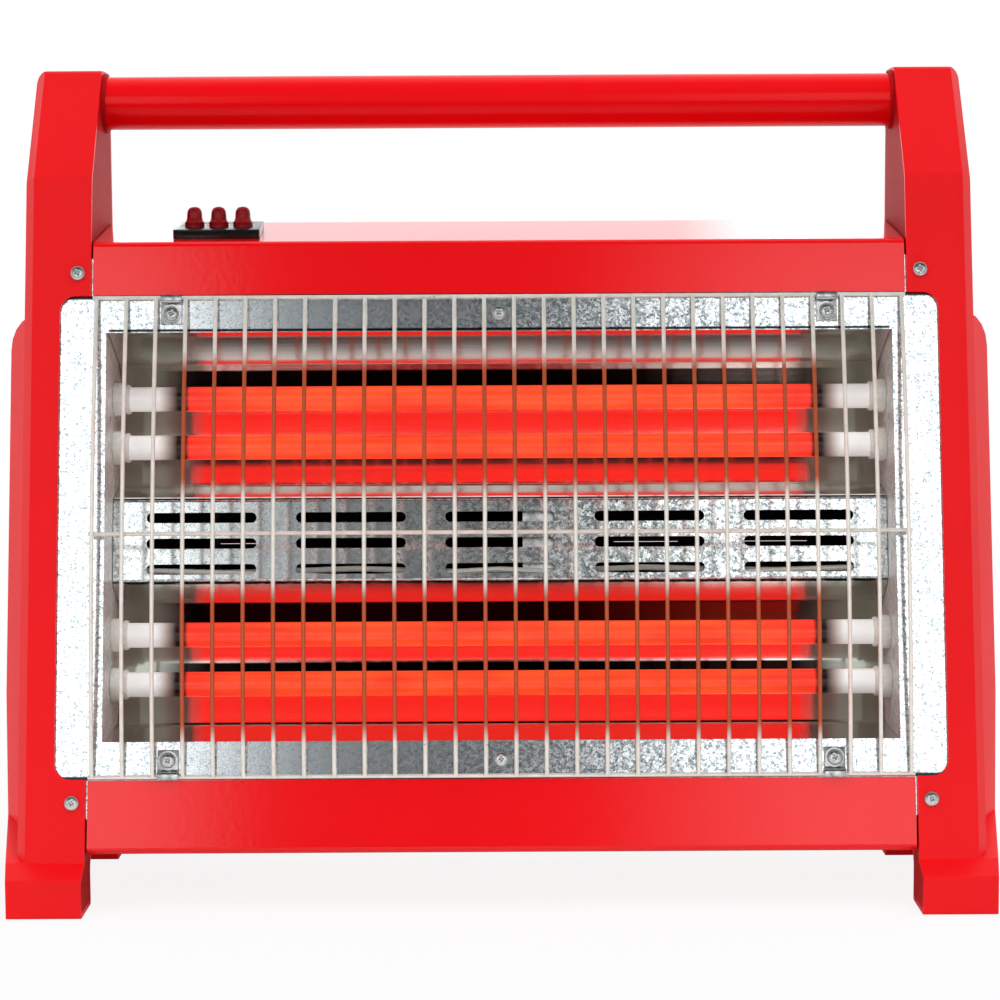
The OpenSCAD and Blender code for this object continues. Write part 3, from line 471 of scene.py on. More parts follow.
# bright rolled reflector sheet: nearly a mirror, with the faint streaks of rolling along it
def brightReflector(name, bright, darkStrips):
    material, tree, shader = newMaterial(name)
    streaks = addNode(  # 125 mm long and 2.4 mm wide, drawn coarser than the real ones to show
        tree, "TexNoise", {"Vector": objectPoint(tree, (8.0, 420.0, 420.0)), "Scale": 1.0, "Detail": 3.0}
    )
    waves = addNode(  # the sheet isn't quite flat
        tree, "TexNoise", {"Vector": objectPoint(tree, (9.0, 26.0, 26.0)), "Scale": 1.0, "Detail": 2.0}
    )
    rough = addNode(
        tree, "ValToRGB", {0: streaks.outputs["Fac"]}, stops=((0.3, grey(0.06)), (0.75, grey(0.15)))
    )
    bump = addNode(tree, "Bump", {"Height": waves.outputs["Fac"], "Distance": 0.2 * mm, "Strength": 0.5})
    place, fromCentre = leanedPlace(tree)
    backFrom, backTo = bright["back"]
    atBack = addNode(
        tree, "MapRange", {"Value": place["Y"], "From Min": backFrom * mm, "From Max": backTo * mm}
    ).outputs[0]
    # beside the lit length the sheet is dull
    dullFrom, dullTo = bright["dullEnds"]
    dulled = addNode(
        tree, "MapRange", {"Value": fromCentre, "From Min": dullFrom * mm, "From Max": dullTo * mm}
    )
    dulled = addNode(tree, "Math", {0: atBack, 1: dulled.outputs[0]}, operation="MULTIPLY").outputs[0]
    metallic = addNode(tree, "MapRange", {"Value": dulled, "To Min": 1.0, "To Max": 0.5})
    colour = addNode(
        tree,
        "Mix",
        {0: dulled, 6: linearColour(bright["hex"]), 7: linearColour(bright["dullHex"])},
        data_type="RGBA",
    ).outputs[2]
    # strips of the back drawn near black, fading at their edges, toward the ends and across
    stripWhole, stripGone = bright["darkStripEnds"]
    ended = addNode(
        tree, "MapRange", {"Value": fromCentre, "From Min": stripGone * mm, "From Max": stripWhole * mm}
    )
    soft = bright["darkStripEdge"]
    for low, high, palerFrom in darkStrips:
        belowTop = addNode(
            tree, "MapRange", {"Value": place["Z"], "From Min": high * mm, "From Max": (high - soft) * mm}
        )
        aboveFoot = addNode(
            tree, "MapRange", {"Value": place["Z"], "From Min": low * mm, "From Max": (low + soft) * mm}
        )
        paler = addNode(
            tree,
            "MapRange",
            {
                "Value": place["X"],
                "From Min": palerFrom * mm,
                "From Max": (palerFrom + bright["palerOver"]) * mm,
                "To Min": 1.0,
                "To Max": bright["palest"],
            },
            interpolation_type="SMOOTHSTEP",
        )
        darkShare = atBack
        for part in (belowTop, aboveFoot, paler, ended):
            darkShare = addNode(tree, "Math", {0: darkShare, 1: part.outputs[0]}, operation="MULTIPLY").outputs[0]
        colour = addNode(
            tree, "Mix", {0: darkShare, 6: colour, 7: linearColour(bright["darkStripHex"])}, data_type="RGBA"
        ).outputs[2]
    tree.links.new(colour, shader.inputs["Base Color"])
    tree.links.new(rough.outputs[0], shader.inputs["Roughness"])
    tree.links.new(bump.outputs[0], shader.inputs["Normal"])
    tree.links.new(metallic.outputs[0], shader.inputs["Metallic"])
    return material


# milky fused quartz: white where cold, smoked beside the element's end, and lit through by the element
def milkyQuartz(name, glow):
    material, tree, shader = newMaterial(name)
    half = glow["half"]
    endFrom, endTo = glow["endSpan"]
    place, fromCentre = leanedPlace(tree)
    behind = addNode(  # 0 on the front half of a tube and 1 on its rear half
        tree,
        "MapRange",
        {"Value": place["Y"], "From Min": glow["depth"] - 1.5 * mm, "From Max": glow["depth"] + 1.5 * mm},
    ).outputs[0]
    nearer = addNode(
        tree, "Math", {0: behind, 1: -glow["rearMore"], 2: fromCentre}, operation="MULTIPLY_ADD"
    ).outputs[0]
    lit = addNode(
        tree,
        "MapRange",
        {"Value": nearer, "From Min": half + glow["fade"], "From Max": half},
        interpolation_type="SMOOTHSTEP",
    ).outputs[0]
    mottle = addNode(  # drawn out along the tube, 45 mm by 11 mm
        tree, "TexNoise", {"Vector": objectPoint(tree, (22.0, 90.0, 90.0)), "Scale": 1.0, "Detail": 3.0}
    )
    front = addNode(
        tree,
        "ValToRGB",
        {0: mottle.outputs["Fac"]},
        stops=((0.35, linearColour(glow["deepHex"])), (0.62, linearColour(glow["hex"]))),
    )
    ends = addNode(
        tree,
        "MapRange",
        {"Value": nearer, "From Min": half - endFrom, "From Max": half - endTo, "To Max": 0.75},
    )
    front = addNode(
        tree,
        "Mix",
        {0: ends.outputs[0], 6: front.outputs[0], 7: linearColour(glow["endHex"])},
        data_type="RGBA",
    )
    glowing = addNode(
        tree, "Mix", {0: behind, 6: front.outputs[2], 7: linearColour(glow["rearHex"])}, data_type="RGBA"
    )
    strength = addNode(
        tree, "MapRange", {"Value": behind, "To Min": glow["strength"], "To Max": glow["rearStrength"]}
    )
    strength = addNode(tree, "Math", {0: lit, 1: strength.outputs[0]}, operation="MULTIPLY")
    # from the element's end outward: smoked, then white
    white = half + glow["whiteAt"]
    outward = addNode(tree, "MapRange", {"Value": nearer, "From Min": half, "From Max": white})
    cold = addNode(
        tree,
        "ValToRGB",
        {0: outward.outputs[0]},
        stops=(
            (0.0, linearColour("1E0703")),
            (0.38, linearColour("2A1410")),
            (0.62, linearColour("A09A92")),
            (1.0, linearColour(glow["coldHex"])),
        ),
    )
    base = addNode(
        tree, "Mix", {0: lit, 6: cold.outputs[0], 7: linearColour(glow["baseHex"])}, data_type="RGBA"
    )
    # painted light: the cold ends glow a little in their cold white, whatever light falls on them
    pale = addNode(
        tree,
        "MapRange",
        {"Value": nearer, "From Min": half + glow["paintedGlowFrom"], "From Max": white},
        interpolation_type="SMOOTHSTEP",
    ).outputs[0]
    colour = addNode(
        tree, "Mix", {0: pale, 6: glowing.outputs[2], 7: linearColour(glow["coldHex"])}, data_type="RGBA"
    )
    strength = addNode(
        tree, "Math", {0: pale, 1: glow["paintedGlowStrength"], 2: strength.outputs[0]}, operation="MULTIPLY_ADD"
    )
    tree.links.new(base.outputs[2], shader.inputs["Base Color"])
    tree.links.new(colour.outputs[2], shader.inputs["Emission Color"])
    tree.links.new(strength.outputs[0], shader.inputs["Emission Strength"])
    shader.inputs["Roughness"].default_value = 0.28
    shader.inputs["IOR"].default_value = 1.46
    return material


# plain metals and plastics with a fine scratch or grain of their own, its size in mm
def plainFinish(name, hexText, darkHex, roughness, grainSize, metallic=0.0, bumpDepth=0.02, ior=1.5):
    material, tree, shader = newMaterial(name)
    grain = addNode(
        tree, "TexNoise", {"Vector": objectPoint(tree), "Scale": 1 / (grainSize * mm), "Detail": 3.0}
    ).outputs["Fac"]
    colour = addNode(
        tree, "ValToRGB", {0: grain}, stops=((0.3, linearColour(darkHex)), (0.7, linearColour(hexText)))
    )
    rough = addNode(
        tree, "ValToRGB", {0: grain}, stops=((0.25, grey(roughness * 0.8)), (0.75, grey(roughness * 1.2)))
    )
    bump = addNode(tree, "Bump", {"Height": grain, "Distance": bumpDepth * mm, "Strength": 0.5})
    tree.links.new(colour.outputs[0], shader.inputs["Base Color"])
    tree.links.new(rough.outputs[0], shader.inputs["Roughness"])
    tree.links.new(bump.outputs[0], shader.inputs["Normal"])
    shader.inputs["Metallic"].default_value = metallic
    if not metallic:
        shader.inputs["IOR"].default_value = ior
    return material


# tinted polycarbonate: so deep in colour that it shows no through light, with a wet gloss
def tintedLens(name, hexText, darkHex, coat):
    material = plainFinish(name, hexText, darkHex, 0.3, 3.0, bumpDepth=0.004, ior=1.58)
    shader = next(n for n in material.node_tree.nodes if n.type == "BSDF_PRINCIPLED")
    shader.inputs["Coat Weight"].default_value = coat
    shader.inputs["Coat Roughness"].default_value = 0.12
    shader.inputs["Specular IOR Level"].default_value = 0.2
    return material


# a grille's plated wire: painted light, the orange glow of the tubes on it where it passes them
def paintGlowOnWire(material, glowOnWire):
    tree = material.node_tree
    shader = next(n for n in tree.nodes if n.type == "BSDF_PRINCIPLED")
    colour = shader.inputs["Base Color"].links[0].from_socket
    place, fromCentre = leanedPlace(tree)
    spanFrom, spanTo = glowOnWire["across"]
    within = addNode(
        tree,
        "MapRange",
        {"Value": fromCentre, "From Min": spanFrom * mm, "From Max": spanTo * mm},
        interpolation_type="SMOOTHSTEP",
    ).outputs[0]
    for zone in glowOnWire["zones"]:
        glowShare = within
        for spanFrom, spanTo in zone:
            fade = addNode(
                tree,
                "MapRange",
                {"Value": place["Z"], "From Min": spanFrom * mm, "From Max": spanTo * mm},
                interpolation_type="SMOOTHSTEP",
            )
            glowShare = addNode(tree, "Math", {0: glowShare, 1: fade.outputs[0]}, operation="MULTIPLY").outputs[0]
        colour = addNode(
            tree, "Mix", {0: glowShare, 6: colour, 7: linearColour(glowOnWire["hex"])}, data_type="RGBA"
        ).outputs[2]
    tree.links.new(colour, shader.inputs["Base Color"])


redMoulding = mouldedAbs("mouldedAbsRed", "F20812", "EA060F", 0.42, 0.22)
# the same red ABS, darkened as painted shade for the inner walls that face each other, and rougher and less
# shiny
redShadedInner = mouldedAbs("mouldedAbsRedPaintedShade", "B4070F", "A8060D", 0.6, 0.12)
redSheet = powderCoat("powderCoatRed", "F20812", "EA060F", 1.0)
redCover = powderCoat("powderCoatRedCover", "F20812", "EA060F", 0.5, shadedInside=True)
redTube = powderCoat("powderCoatRedTube", "F20812", "EC060F", 0.2)

# galvanised pieces: crystal size in mm, and lines of painted shade as (mm up from the middle, half width,
# reach)
frameZinc = {
    "hex": "F6FAFC",
    "darkHex": "74868F",
    "crystal": 1.2,
    "aslant": 0.016,  # how far a crystal's mirror leans
    "roughness": 0.11,
    "metallic": 0.85,
    "shadeLines": ((98.9, 1.0, 188.0), (115.0, 1.5, 230.0), (-115.0, 1.5, 230.0)),
}
bandZinc = {
    "hex": "F6FBFB",
    "darkHex": "74868B",
    "crystal": 1.4,
    "aslant": 0.018,
    "roughness": 0.11,
    "metallic": 0.85,
}
endZinc = {  # dulled by the heat
    "hex": "F6FAF8",
    "darkHex": "C0CCC8",
    "crystal": 2.2,
    "aslant": 0.12,
    "roughness": 0.3,
    "metallic": 0.25,
}
zincSheet = spangledZinc("galvanisedSheet", frameZinc)
zincBand = spangledZinc("galvanisedBand", bandZinc)
zincEnd = spangledZinc("galvanisedEnd", endZinc)

# lengths in mm in the leaned front; a dark strip is (from, to, where across it begins to pale)
reflectorSheet = {
    "hex": "E6E4E0",
    "dullHex": "AEB8AC",
    "darkStripHex": "140B08",
    "back": (44, 46),  # depth at which a trough's back begins
    "dullEnds": (146, 158),
    "darkStripEnds": (156, 172),
    "darkStripEdge": 0.6,
    "palerOver": 160,
    "palest": 0.72,
    "lowerDarkStrips": ((138.6, 150.4, 20), (115.5, 121.2, 190), (89.7, 91.6, 190)),
    "upperDarkStrips": ((258.2, 266.0, 60),),
}
lowerSheet = brightReflector("lowerReflectorSheet", reflectorSheet, reflectorSheet["lowerDarkStrips"])
upperSheet = brightReflector("upperReflectorSheet", reflectorSheet, reflectorSheet["upperDarkStrips"])

tubeGlow = {
    "half": 151.0 * mm,  # from the centre to the end of the lit length
    "fade": 2.5 * mm,
    "rearMore": 4.0 * mm,  # how much further the glow reaches behind
    "depth": 32.0 * mm,  # of the tubes' middles
    "endSpan": (26.0 * mm, 2.0 * mm),  # before the end, where the glow reddens
    "paintedGlowFrom": 6.0 * mm,  # past the end
    "whiteAt": 16.0 * mm,
    "hex": "F85226",
    "deepHex": "F23A1E",
    "endHex": "F22A22",
    "rearHex": "F8261F",
    "baseHex": "5A1A10",
    "coldHex": "F2F1EF",
    "strength": 1.0,
    "rearStrength": 1.25,
    "paintedGlowStrength": 0.24,
}
quartz = milkyQuartz("milkyQuartz", tubeGlow)

paintedGlowOnWires = {
    "hex": "C45C36",
    "across": (166.0, 152.0),  # mm to each side, from plain to glowing
    "zones": (((78.0, 90.0), (158.0, 146.0)), ((194.0, 206.0), (268.0, 256.0))),  # and up the lean
}
brightWire = plainFinish("nickelPlatedWire", "FFFCF4", "F0ECE2", 0.34, 5.0, metallic=0.45)
paintGlowOnWire(brightWire, paintedGlowOnWires)
# wound resistance wire at a bright heat, dull with oxide
hotWire = plainFinish("resistanceWire", "FF7A33", "E8521C", 0.5, 1.0)
# pressed and fired steatite, unglazed: chalky white with a soft sheen
steatite = plainFinish("steatite", "F1F0EA", "E2E0D8", 0.42, 2.0, bumpDepth=0.03)
# zinc-plated steel, for screws: bright grey, faintly clouded
zincPlate = plainFinish("zincPlatedSteel", "E4E6E6", "C2C6C7", 0.30, 1.5, metallic=1.0)
# zinc-plated strip, pressed: greyer, with broader clouds
clipSteel = plainFinish("zincPlatedStrip", "DDE0E0", "AEB4B5", 0.28, 3.0, metallic=1.0)
# plated brass, pressed: pale gold, dulled by the heat
brassPlate = plainFinish("platedBrass", "D9B978", "B8955A", 0.34, 2.0, metallic=1.0)
# moulded nylon: a fine mould grain, half dull
blackNylon = plainFinish("blackNylon", "17181A", "101112", 0.30, 1.4)
naturalNylon = plainFinish("naturalNylon", "E8E4D4", "DAD5C2", 0.4, 2.0)
lensRed = tintedLens("redPolycarbonate", "92040C", "740308", 0.1)
blackGloss = tintedLens("blackPolycarbonate", "060607", "040404", 0.45)
# sleeving of braided glass fibre: off-white and rough; the dark kind is smoother
paleSleeve = plainFinish("glassFibreSleeve", "FAF8F2", "E8E4DA", 0.65, 0.9, bumpDepth=0.15)
darkSleeve = plainFinish("heatResistantSleeve", "1B1B1C", "121213", 0.5, 1.2)
# moulded rubber: near black and dull
rubber = plainFinish("mouldedRubber", "1A1A1B", "111112", 0.62, 0.8, bumpDepth=0.05)
print("materials made")


def dress(pieces, smoothAngle=32.0):
    # CAD nodes that keep their form, each with its name, material, slot and edge radius in mm
    for node, (name, material, slotName, radius) in pieces.items():
        piece = softened(node, name, radius, smoothAngle)
        finishPiece(piece, material, "heater", slotName, node)


# red mouldings and sheet
redPieces = {
    "left_cheek": ("leftCheekShell", redMoulding, "red_moulding", 0.7),
    "left_liner": ("leftInnerWall", redShadedInner, "red_moulding", 0.4),
    "right_cheek": ("rightCheekShell", redMoulding, "red_moulding", 0.7),
    "right_liner": ("rightInnerWall", redShadedInner, "red_moulding", 0.4),
    "handle_tube": ("carryingTube", redTube, "red_sheet", 0.25),
    "top_housing": ("foldedHousing", redSheet, "red_sheet", 0.25),
    "bottom_pan": ("foldedPan", redSheet, "red_sheet", 0.25),
    "back_cover": ("louvredCover", redCover, "red_sheet", 0.25),
}
dress(redPieces)
print("red pieces made")

# galvanised case
casePieces = {
    "case_frame": ("caseFrame", zincSheet, "galvanised", 0.32),
    "left_end_plate": ("leftEndPlate", zincEnd, "galvanised", 0.2),
    "right_end_plate": ("rightEndPlate", zincEnd, "galvanised", 0.2),
    "vent_band": ("slottedBand", zincBand, "galvanised", 0.2),
}
dress(casePieces)
print("case made")

# the two troughs, in mm: depth and height from the middle of the window, each with its fold's radius
troughs = {
    "halfWidth": 188.3,
    "gauge": 0.6,
    "backSteps": 16,  # flats that make up the hollow back
    "backLength": 48.7,
    "backFolds": (6, 1.2),  # radii at its top and its foot
    # depth lost per height, at shares of the way down the back
    "tilt": ((0.0, 0.083), (0.42, 0.083), (0.77, 0.175), (1.0, 0.38)),
    "upper": {
        "lip": [
            (3.7, 104.4, 0), (3.7, 98.9, 1.5), (14.3, 96.95, 0),
            (25.0, 94.8, 0), (35.5, 92.3, 0), (46.0, 89.3, 3),
        ],
        "backTop": (60.2, 77.9),
        "tail": [(31.0, 21.0, 0)],
    },
    "lower": {
        "lip": [(31.0, -21.0, 0), (50.0, -29.2, 3)],
        "backTop": (60.2, -40.2),
        "tail": [(3.7, -98.9, 1.5), (3.7, -104.4, 0)],
    },
}
for which, sheet in (("upper", upperSheet), ("lower", lowerSheet)):
    shape = troughs[which]
    depth, height = shape["backTop"]
    steps = troughs["backSteps"]
    topFold, footFold = troughs["backFolds"]
    back = [(depth, height, topFold)]
    for i in range(steps):
        t = (i + 0.5) / steps
        for (start, first), (end, last) in zip(troughs["tilt"], troughs["tilt"][1:]):
            if start <= t <= end:
                tilt = first + (last - first) * (t - start) / (end - start)
        height -= troughs["backLength"] / steps
        depth -= tilt * troughs["backLength"] / steps
        back.append((depth, height, footFold if i == steps - 1 else 0))
    path = shape["lip"] + back + shape["tail"]
    trough = folded(which + "Trough", path, troughs["halfWidth"], troughs["gauge"])
    placed(trough, leaned @ Matrix.Translation((0, 0, middle * mm)))
    smoothByAngle(trough, 30.0)
    finishPiece(trough, sheet, "heater", "reflector", which + "_reflector")
print("troughs made")

# tubes and their elements, in mm in the leaned front
tubes = {
    "heights": (248.95, 225.05, 133.35, 109.45),
    "depth": 32.0,
    "edge": 0.2,
}
for i in range(1, 5):
    tube = softened("quartz_tube_%d" % i, "quartzTube%d" % i, tubes["edge"], 40.0)
    finishPiece(tube, quartz, "heater", "quartz", "quartz_tube_%d" % i)
    coil = softened("heating_coil_%d" % i, "woundElement%d" % i)
    finishPiece(coil, hotWire, "heater", "element", "heating_coil_%d" % i)

# a pressed and fired holder: a rounded nose with a groove behind it, and a flange against the end plate
holder = {
    "noseEnd": 180.5,
    "rings": [
        (6.25, 9.0), (6.25, 0.3), (6.5, 0.0), (6.9, 0.1), (7.2, 0.6), (7.3, 1.5), (7.2, 2.1), (6.75, 2.5),
        (6.75, 3.0), (7.9, 3.6), (8.2, 4.1), (8.2, 7.7), (7.9, 8.1), (7.2, 8.1), (7.1, 16.0),
        (2.0, 16.1), (1.3, 15.9), (1.3, 9.4), (6.25, 9.0),
    ],
}
first = turned("holder", holder["rings"], 40, hollow=True)
smoothByAngle(first, 40.0)
for side, name in ((1, "right"), (-1, "left")):
    holders = []
    for height in tubes["heights"]:
        twin = copyOf(first, "holder")
        spot = Matrix.Translation((side * holder["noseEnd"] * mm, tubes["depth"] * mm, height * mm))
        holders.append(placed(twin, leaned @ spot @ Matrix.Rotation(math.radians(90 * side), 4, "Y")))
    finishPiece(joined(name + "CeramicHolders", holders), steatite, "heater", "ceramic", name + "_ceramics")
bpy.data.objects.remove(first, do_unlink=True)
endPieces = {
    "left_terminals": ("leftTerminalNuts", brassPlate, "brass", 0.2),
    "right_terminals": ("rightTerminalNuts", brassPlate, "brass", 0.2),
    "common_bus": ("commonStrip", brassPlate, "brass", 0.1),
    "pair_bus": ("pairStrip", brassPlate, "brass", 0.1),
}
dress(endPieces)
print("tubes made")

# grille
dress({"wire_grille": ("weldedGrille", brightWire, "grille_wire", 0.0)}, 50.0)
headOut = Matrix.Rotation(math.radians(90), 4, "X")  # Z to the front
headBack = Matrix.Rotation(math.radians(-90), 4, "X")

# a clip, in mm: a flat foot under its screw, folded up and over the grille's end wire
clip = {
    "width": 10.0,
    "gauge": 0.9,
    "path": [(1.9, -5.0, 0), (1.9, 4.9, 1.0), (-0.55, 5.9, 1.2), (-0.55, 9.0, 0)],
    "collar": [(3.9, 0.0), (4.5, 0.0), (4.7, 0.25), (4.6, 0.5), (4.0, 0.45), (3.9, 0.0)],
    "seat": 1.45,  # depth of the foot's front
    "edge": 0.25,
    "across": 157.26,
    "fromMiddle": 106.7,
}
firstClip = folded("clip", clip["path"], clip["width"] / 2, clip["gauge"])
rounded(firstClip, clip["edge"], 2, 40.0)
collar = placed(
    turned("collar", clip["collar"], 32, hollow=True),
    Matrix.Translation((0, clip["seat"] * mm, 0)) @ headOut,
)
smoothByAngle(collar, 40.0)
firstClip = joined("clip", [firstClip, collar])
clips = []
for side in (-1, 1):
    for up in (-1, 1):
        twin = copyOf(firstClip, "clip")
        spot = Matrix.Translation((side * clip["across"] * mm, 0, (middle + up * clip["fromMiddle"]) * mm))
        clips.append(placed(twin, leaned @ spot @ Matrix.Diagonal((1, 1, up, 1))))
        closeUp(twin)
bpy.data.objects.remove(firstClip, do_unlink=True)
finishPiece(joined("grilleClips", clips), clipSteel, "heater", "clip_steel", "grille_clips")
print("grille made")

# a pan-headed screw, in mm, with a cross recess, its head outward on Z
screw = {
    "rings": [
        (0.3, -9.0), (1.5, -7.4), (1.6, 0.0), (3.55, 0.02), (3.6, 0.3), (3.52, 0.9),
        (3.15, 1.45), (2.4, 1.82), (1.3, 1.98), (0.4, 2.0),
    ],
    "headHeight": 2.0,
    "recessWidth": 0.85,
    "recessReach": 1.15,
    "recessDepth": 1.3,
    "cubeDepth": 0.43,  # how deep the cross reaches as a plain cube
    "recessFoot": 0.5,  # its width at the foot as a share of that at the top
    "edge": 0.08,
    "turn": 37,  # degrees from one screw to the next, so that no two recesses stand alike
}
firstScrew = turned("screw", screw["rings"], 36)
deselectAll()
bpy.ops.mesh.primitive_cube_add(size=screw["recessWidth"] * mm, location=(0, 0, screw["headHeight"] * mm))
cross = bpy.context.object
settle(cross)
for axis in ((1, 0, 0), (-1, 0, 0), (0, 1, 0), (0, -1, 0)):
    edit(cross, "FACE")
    outward = Vector(axis)
    pick(
        cross,
        faces=lambda f: f.normal.dot(outward) > 0.9
        and f.center.dot(outward) < screw["recessWidth"] * 0.51 * mm
        and abs(f.center.x * outward.y + f.center.y * outward.x) < 1e-6,
    )
    push = tuple(screw["recessReach"] * mm * v for v in axis)
    bpy.ops.mesh.extrude_region_move(TRANSFORM_OT_translate={"value": push})
edit(cross, "FACE")
pick(cross, faces=lambda f: f.normal.z < -0.9)
deeper = (screw["recessDepth"] - screw["cubeDepth"]) * mm
recessFoot = (screw["headHeight"] - screw["recessDepth"]) * mm
bpy.ops.transform.translate(value=(0, 0, -deeper))
bpy.ops.transform.resize(
    value=(screw["recessFoot"], screw["recessFoot"], 1), center_override=(0, 0, recessFoot)
)
closeUp(cross)
cutWith(firstScrew, cross)
rounded(firstScrew, screw["edge"], 1, 50.0, 45.0)
clipHeights = (middle - clip["fromMiddle"], middle + clip["fromMiddle"])
screwSets = (  # name, node, then across, depth and height in mm, in the leaned front but for the cover
    ("clipScrews", "clip_screws", (-clip["across"], clip["across"]), clip["seat"], clipHeights),
    ("frameScrews", "band_screws", (0,), 2.5, clipHeights),
    ("cheekScrews", "cheek_screws", (-202.3, 202.3), 0, (middle - 126.5, middle + 126.5)),
    ("coverScrews", "back_screws", (-160, 0, 160), 63.5, (34.9, 317.1)),
)
turn = 0
for name, node, acrosses, depth, heights in screwSets:
    ground, outward = (Matrix(), headBack) if node == "back_screws" else (leaned, headOut)
    screws = []
    for across in acrosses:
        for height in heights:
            turn += screw["turn"]
            at = Matrix.Translation(Vector((across, depth, height)) * mm)
            at = at @ outward @ Matrix.Rotation(math.radians(turn), 4, "Z")
            screws.append(placed(copyOf(firstScrew, "screw"), ground @ at))
    finishPiece(joined(name, screws), zincPlate, "heater", "screw_zinc", node)
bpy.data.objects.remove(firstScrew, do_unlink=True)
print("screws made")

# switch, in mm: a black base on the sloped top, with three tilting keys
switch = {
    "across": -137.1,
    "pitch": 11.8,
    "rise": 8.7,  # degrees, the slope of the top
    "ground": (-4.87, 314.12),  # the slope's front edge in the world, depth and height
    "mid": 24.15,  # the base's middle up the slope
    "gap": 0.15,  # between the base and the top
    "size": (42.0, 28.0, 4.4),
    "tail": (38.0, 15.0),  # width and length of what goes through the top
    "corner": 1.6,
    "edge": 0.35,
    "socket": [(4.0, -12.0), (4.9, -10.0), (4.9, 4.1), (5.2, 4.5), (5.4, 9.0)],
    "pivot": 2.4,  # height of the keys' pin
    "rest": -12.0,  # degrees
    "key": [
        (1.2, -7.4), (1.5, -7.2), (1.5, -4.3), (2.6, -3.85), (3.6, -2.9), (4.3, -1.6), (4.6, 0.0), (4.6, 1.3),
        (4.72, 2.4), (4.86, 3.1), (4.9, 3.35), (4.78, 3.6), (4.35, 4.15), (4.0, 4.9), (3.8, 5.7), (3.72, 7.2),
        (3.62, 8.4), (3.35, 9.4), (2.8, 10.3), (1.9, 10.9), (0.8, 11.17), (0.25, 11.2),
    ],
}
onTop = (
    Matrix.Translation((switch["across"] * mm, switch["ground"][0] * mm, switch["ground"][1] * mm))
    @ Matrix.Rotation(math.radians(switch["rise"]), 4, "X")
    @ Matrix.Translation((0, switch["mid"] * mm, switch["gap"] * mm))
)
wide, long, high = switch["size"]
tailWide, tailLong = switch["tail"]
deselectAll()
bpy.ops.mesh.primitive_cube_add(size=1, location=(0, 0, high / 2 * mm))
base = bpy.context.object
base.name = "switchBase"
base.scale = (wide * mm, long * mm, high * mm)
settle(base)
edit(base, "EDGE")
pick(base, edges=lambda e: abs(edgeEnds(base, e)[0].z - edgeEnds(base, e)[1].z) > 1 * mm)
bpy.ops.mesh.bevel(offset=switch["corner"] * mm, segments=5, affect="EDGES")
edit(base, "FACE")
pick(base, faces=lambda f: f.normal.z < -0.9)
bpy.ops.mesh.inset(thickness=(wide - tailWide) / 2 * mm, depth=0)
bpy.ops.mesh.extrude_region_move(TRANSFORM_OT_translate={"value": (0, 0, -tailLong * mm)})
closeUp(base)
for i in (-1, 0, 1):
    cutter = turned("cutter", switch["socket"], 40)
    cutWith(base, placed(cutter, Matrix.Translation((i * switch["pitch"] * mm, 0, 0))))
rounded(base, switch["edge"], 3, 40.0)
placed(base, onTop)
finishPiece(base, blackGloss, "heater", "black_plastic", "switch_housing")
firstKey = turned("key", switch["key"], 48)
smoothByAngle(firstKey, 40.0)
for i in (1, 2, 3):
    key = placed(
        copyOf(firstKey, "switchKey%d" % i),
        onTop
        @ Matrix.Translation(((i - 2) * switch["pitch"] * mm, 0, switch["pivot"] * mm))
        @ Matrix.Rotation(math.radians(switch["rest"]), 4, "X"),
    )
    finishPiece(key, lensRed, "key_%d" % i, "red_lens", "switch_key_%d" % i)
bpy.data.objects.remove(firstKey, do_unlink=True)
print("switch made")

# inner parts, bush and pads
rearLeads = softened("rear_leads", "rearLeads", 0.2, 50.0)
nearer = Matrix.Translation((0, -8.0 * mm, 0.7 * mm))  # closer behind the slots than the solids
placed(rearLeads, leaned @ nearer @ leaned.inverted())
finishPiece(rearLeads, paleSleeve, "heater", "lead_pale", "rear_leads")
innerPieces = {
    "switch_leads": ("switchLeads", paleSleeve, "lead_pale", 0.2),
    "block_leads": ("blockLeads", darkSleeve, "lead_dark", 0.2),
    "terminal_block": ("terminalBlock", naturalNylon, "block_plastic", 0.2),
    "thermal_cutout": ("thermalCutout", clipSteel, "clip_steel", 0.2),
    "tilt_switch": ("tiltSwitch", blackNylon, "black_plastic", 0.2),
    "inlet_bush": ("inletBush", blackNylon, "black_plastic", 0.2),
    "foot_pads": ("footPads", rubber, "pad_rubber", 0.2),
}
dress(innerPieces, 50.0)
print("inner parts made")


# floor, world and lamps, in metres; the world's spans are in the X, Y or Z of a direction
studio = {
    "whiteHex": "FFFFFF",
    "floorHalf": 6.0,
    "floorHex": "F4F4F4",
    "floorDarkHex": "2A2A2A",
    "floorFade": (-0.2, -1.3),  # before the object, where the floor darkens towards the camera
    "shadowShare": 0.12,  # how much of the floor's shadow the camera sees
    "shadowReach": (0.32, 0.62),  # from the centre, over which it fades out
    "fill": 0.78,  # from all round, for all but glossy rays
    "rearGlow": 1.1,  # what glossy rays see behind the object
    "rearSpan": (-0.3, 0.25),
    "rightWing": 2.5,  # what they see beside the camera
    "rightSpan": (0.032, 0.115),
    "leftWing": 2.7,
    "leftSpan": (-0.09, -0.135),
    "wingTop": (0.5, 0.38),  # the wings end above the object
    "beyondWings": 0.22,
    "beyondSpan": (0.2, 0.34),
    "behindCamera": 0.015,
    "lampAim": (0, 0, 0.2),
    "lamps": {  # place, size and watts
        "rightBox": ((0.62, -1.0, 2.4), (0.8, 0.6), 17.0),
        "leftBox": ((-1.5, -1.6, 1.3), (0.8, 0.8), 7.0),
    },
}
white = linearColour(studio["whiteHex"])
deselectAll()
bpy.ops.mesh.primitive_plane_add(size=2 * studio["floorHalf"], location=(0, 0, 0))
floor = bpy.context.object
floor.name = "floor"
floorMaterial, tree, shader = newMaterial("paleFloor")
point = addNode(tree, "TexCoord").outputs["Object"]
place = addNode(tree, "SeparateXYZ", {0: point})
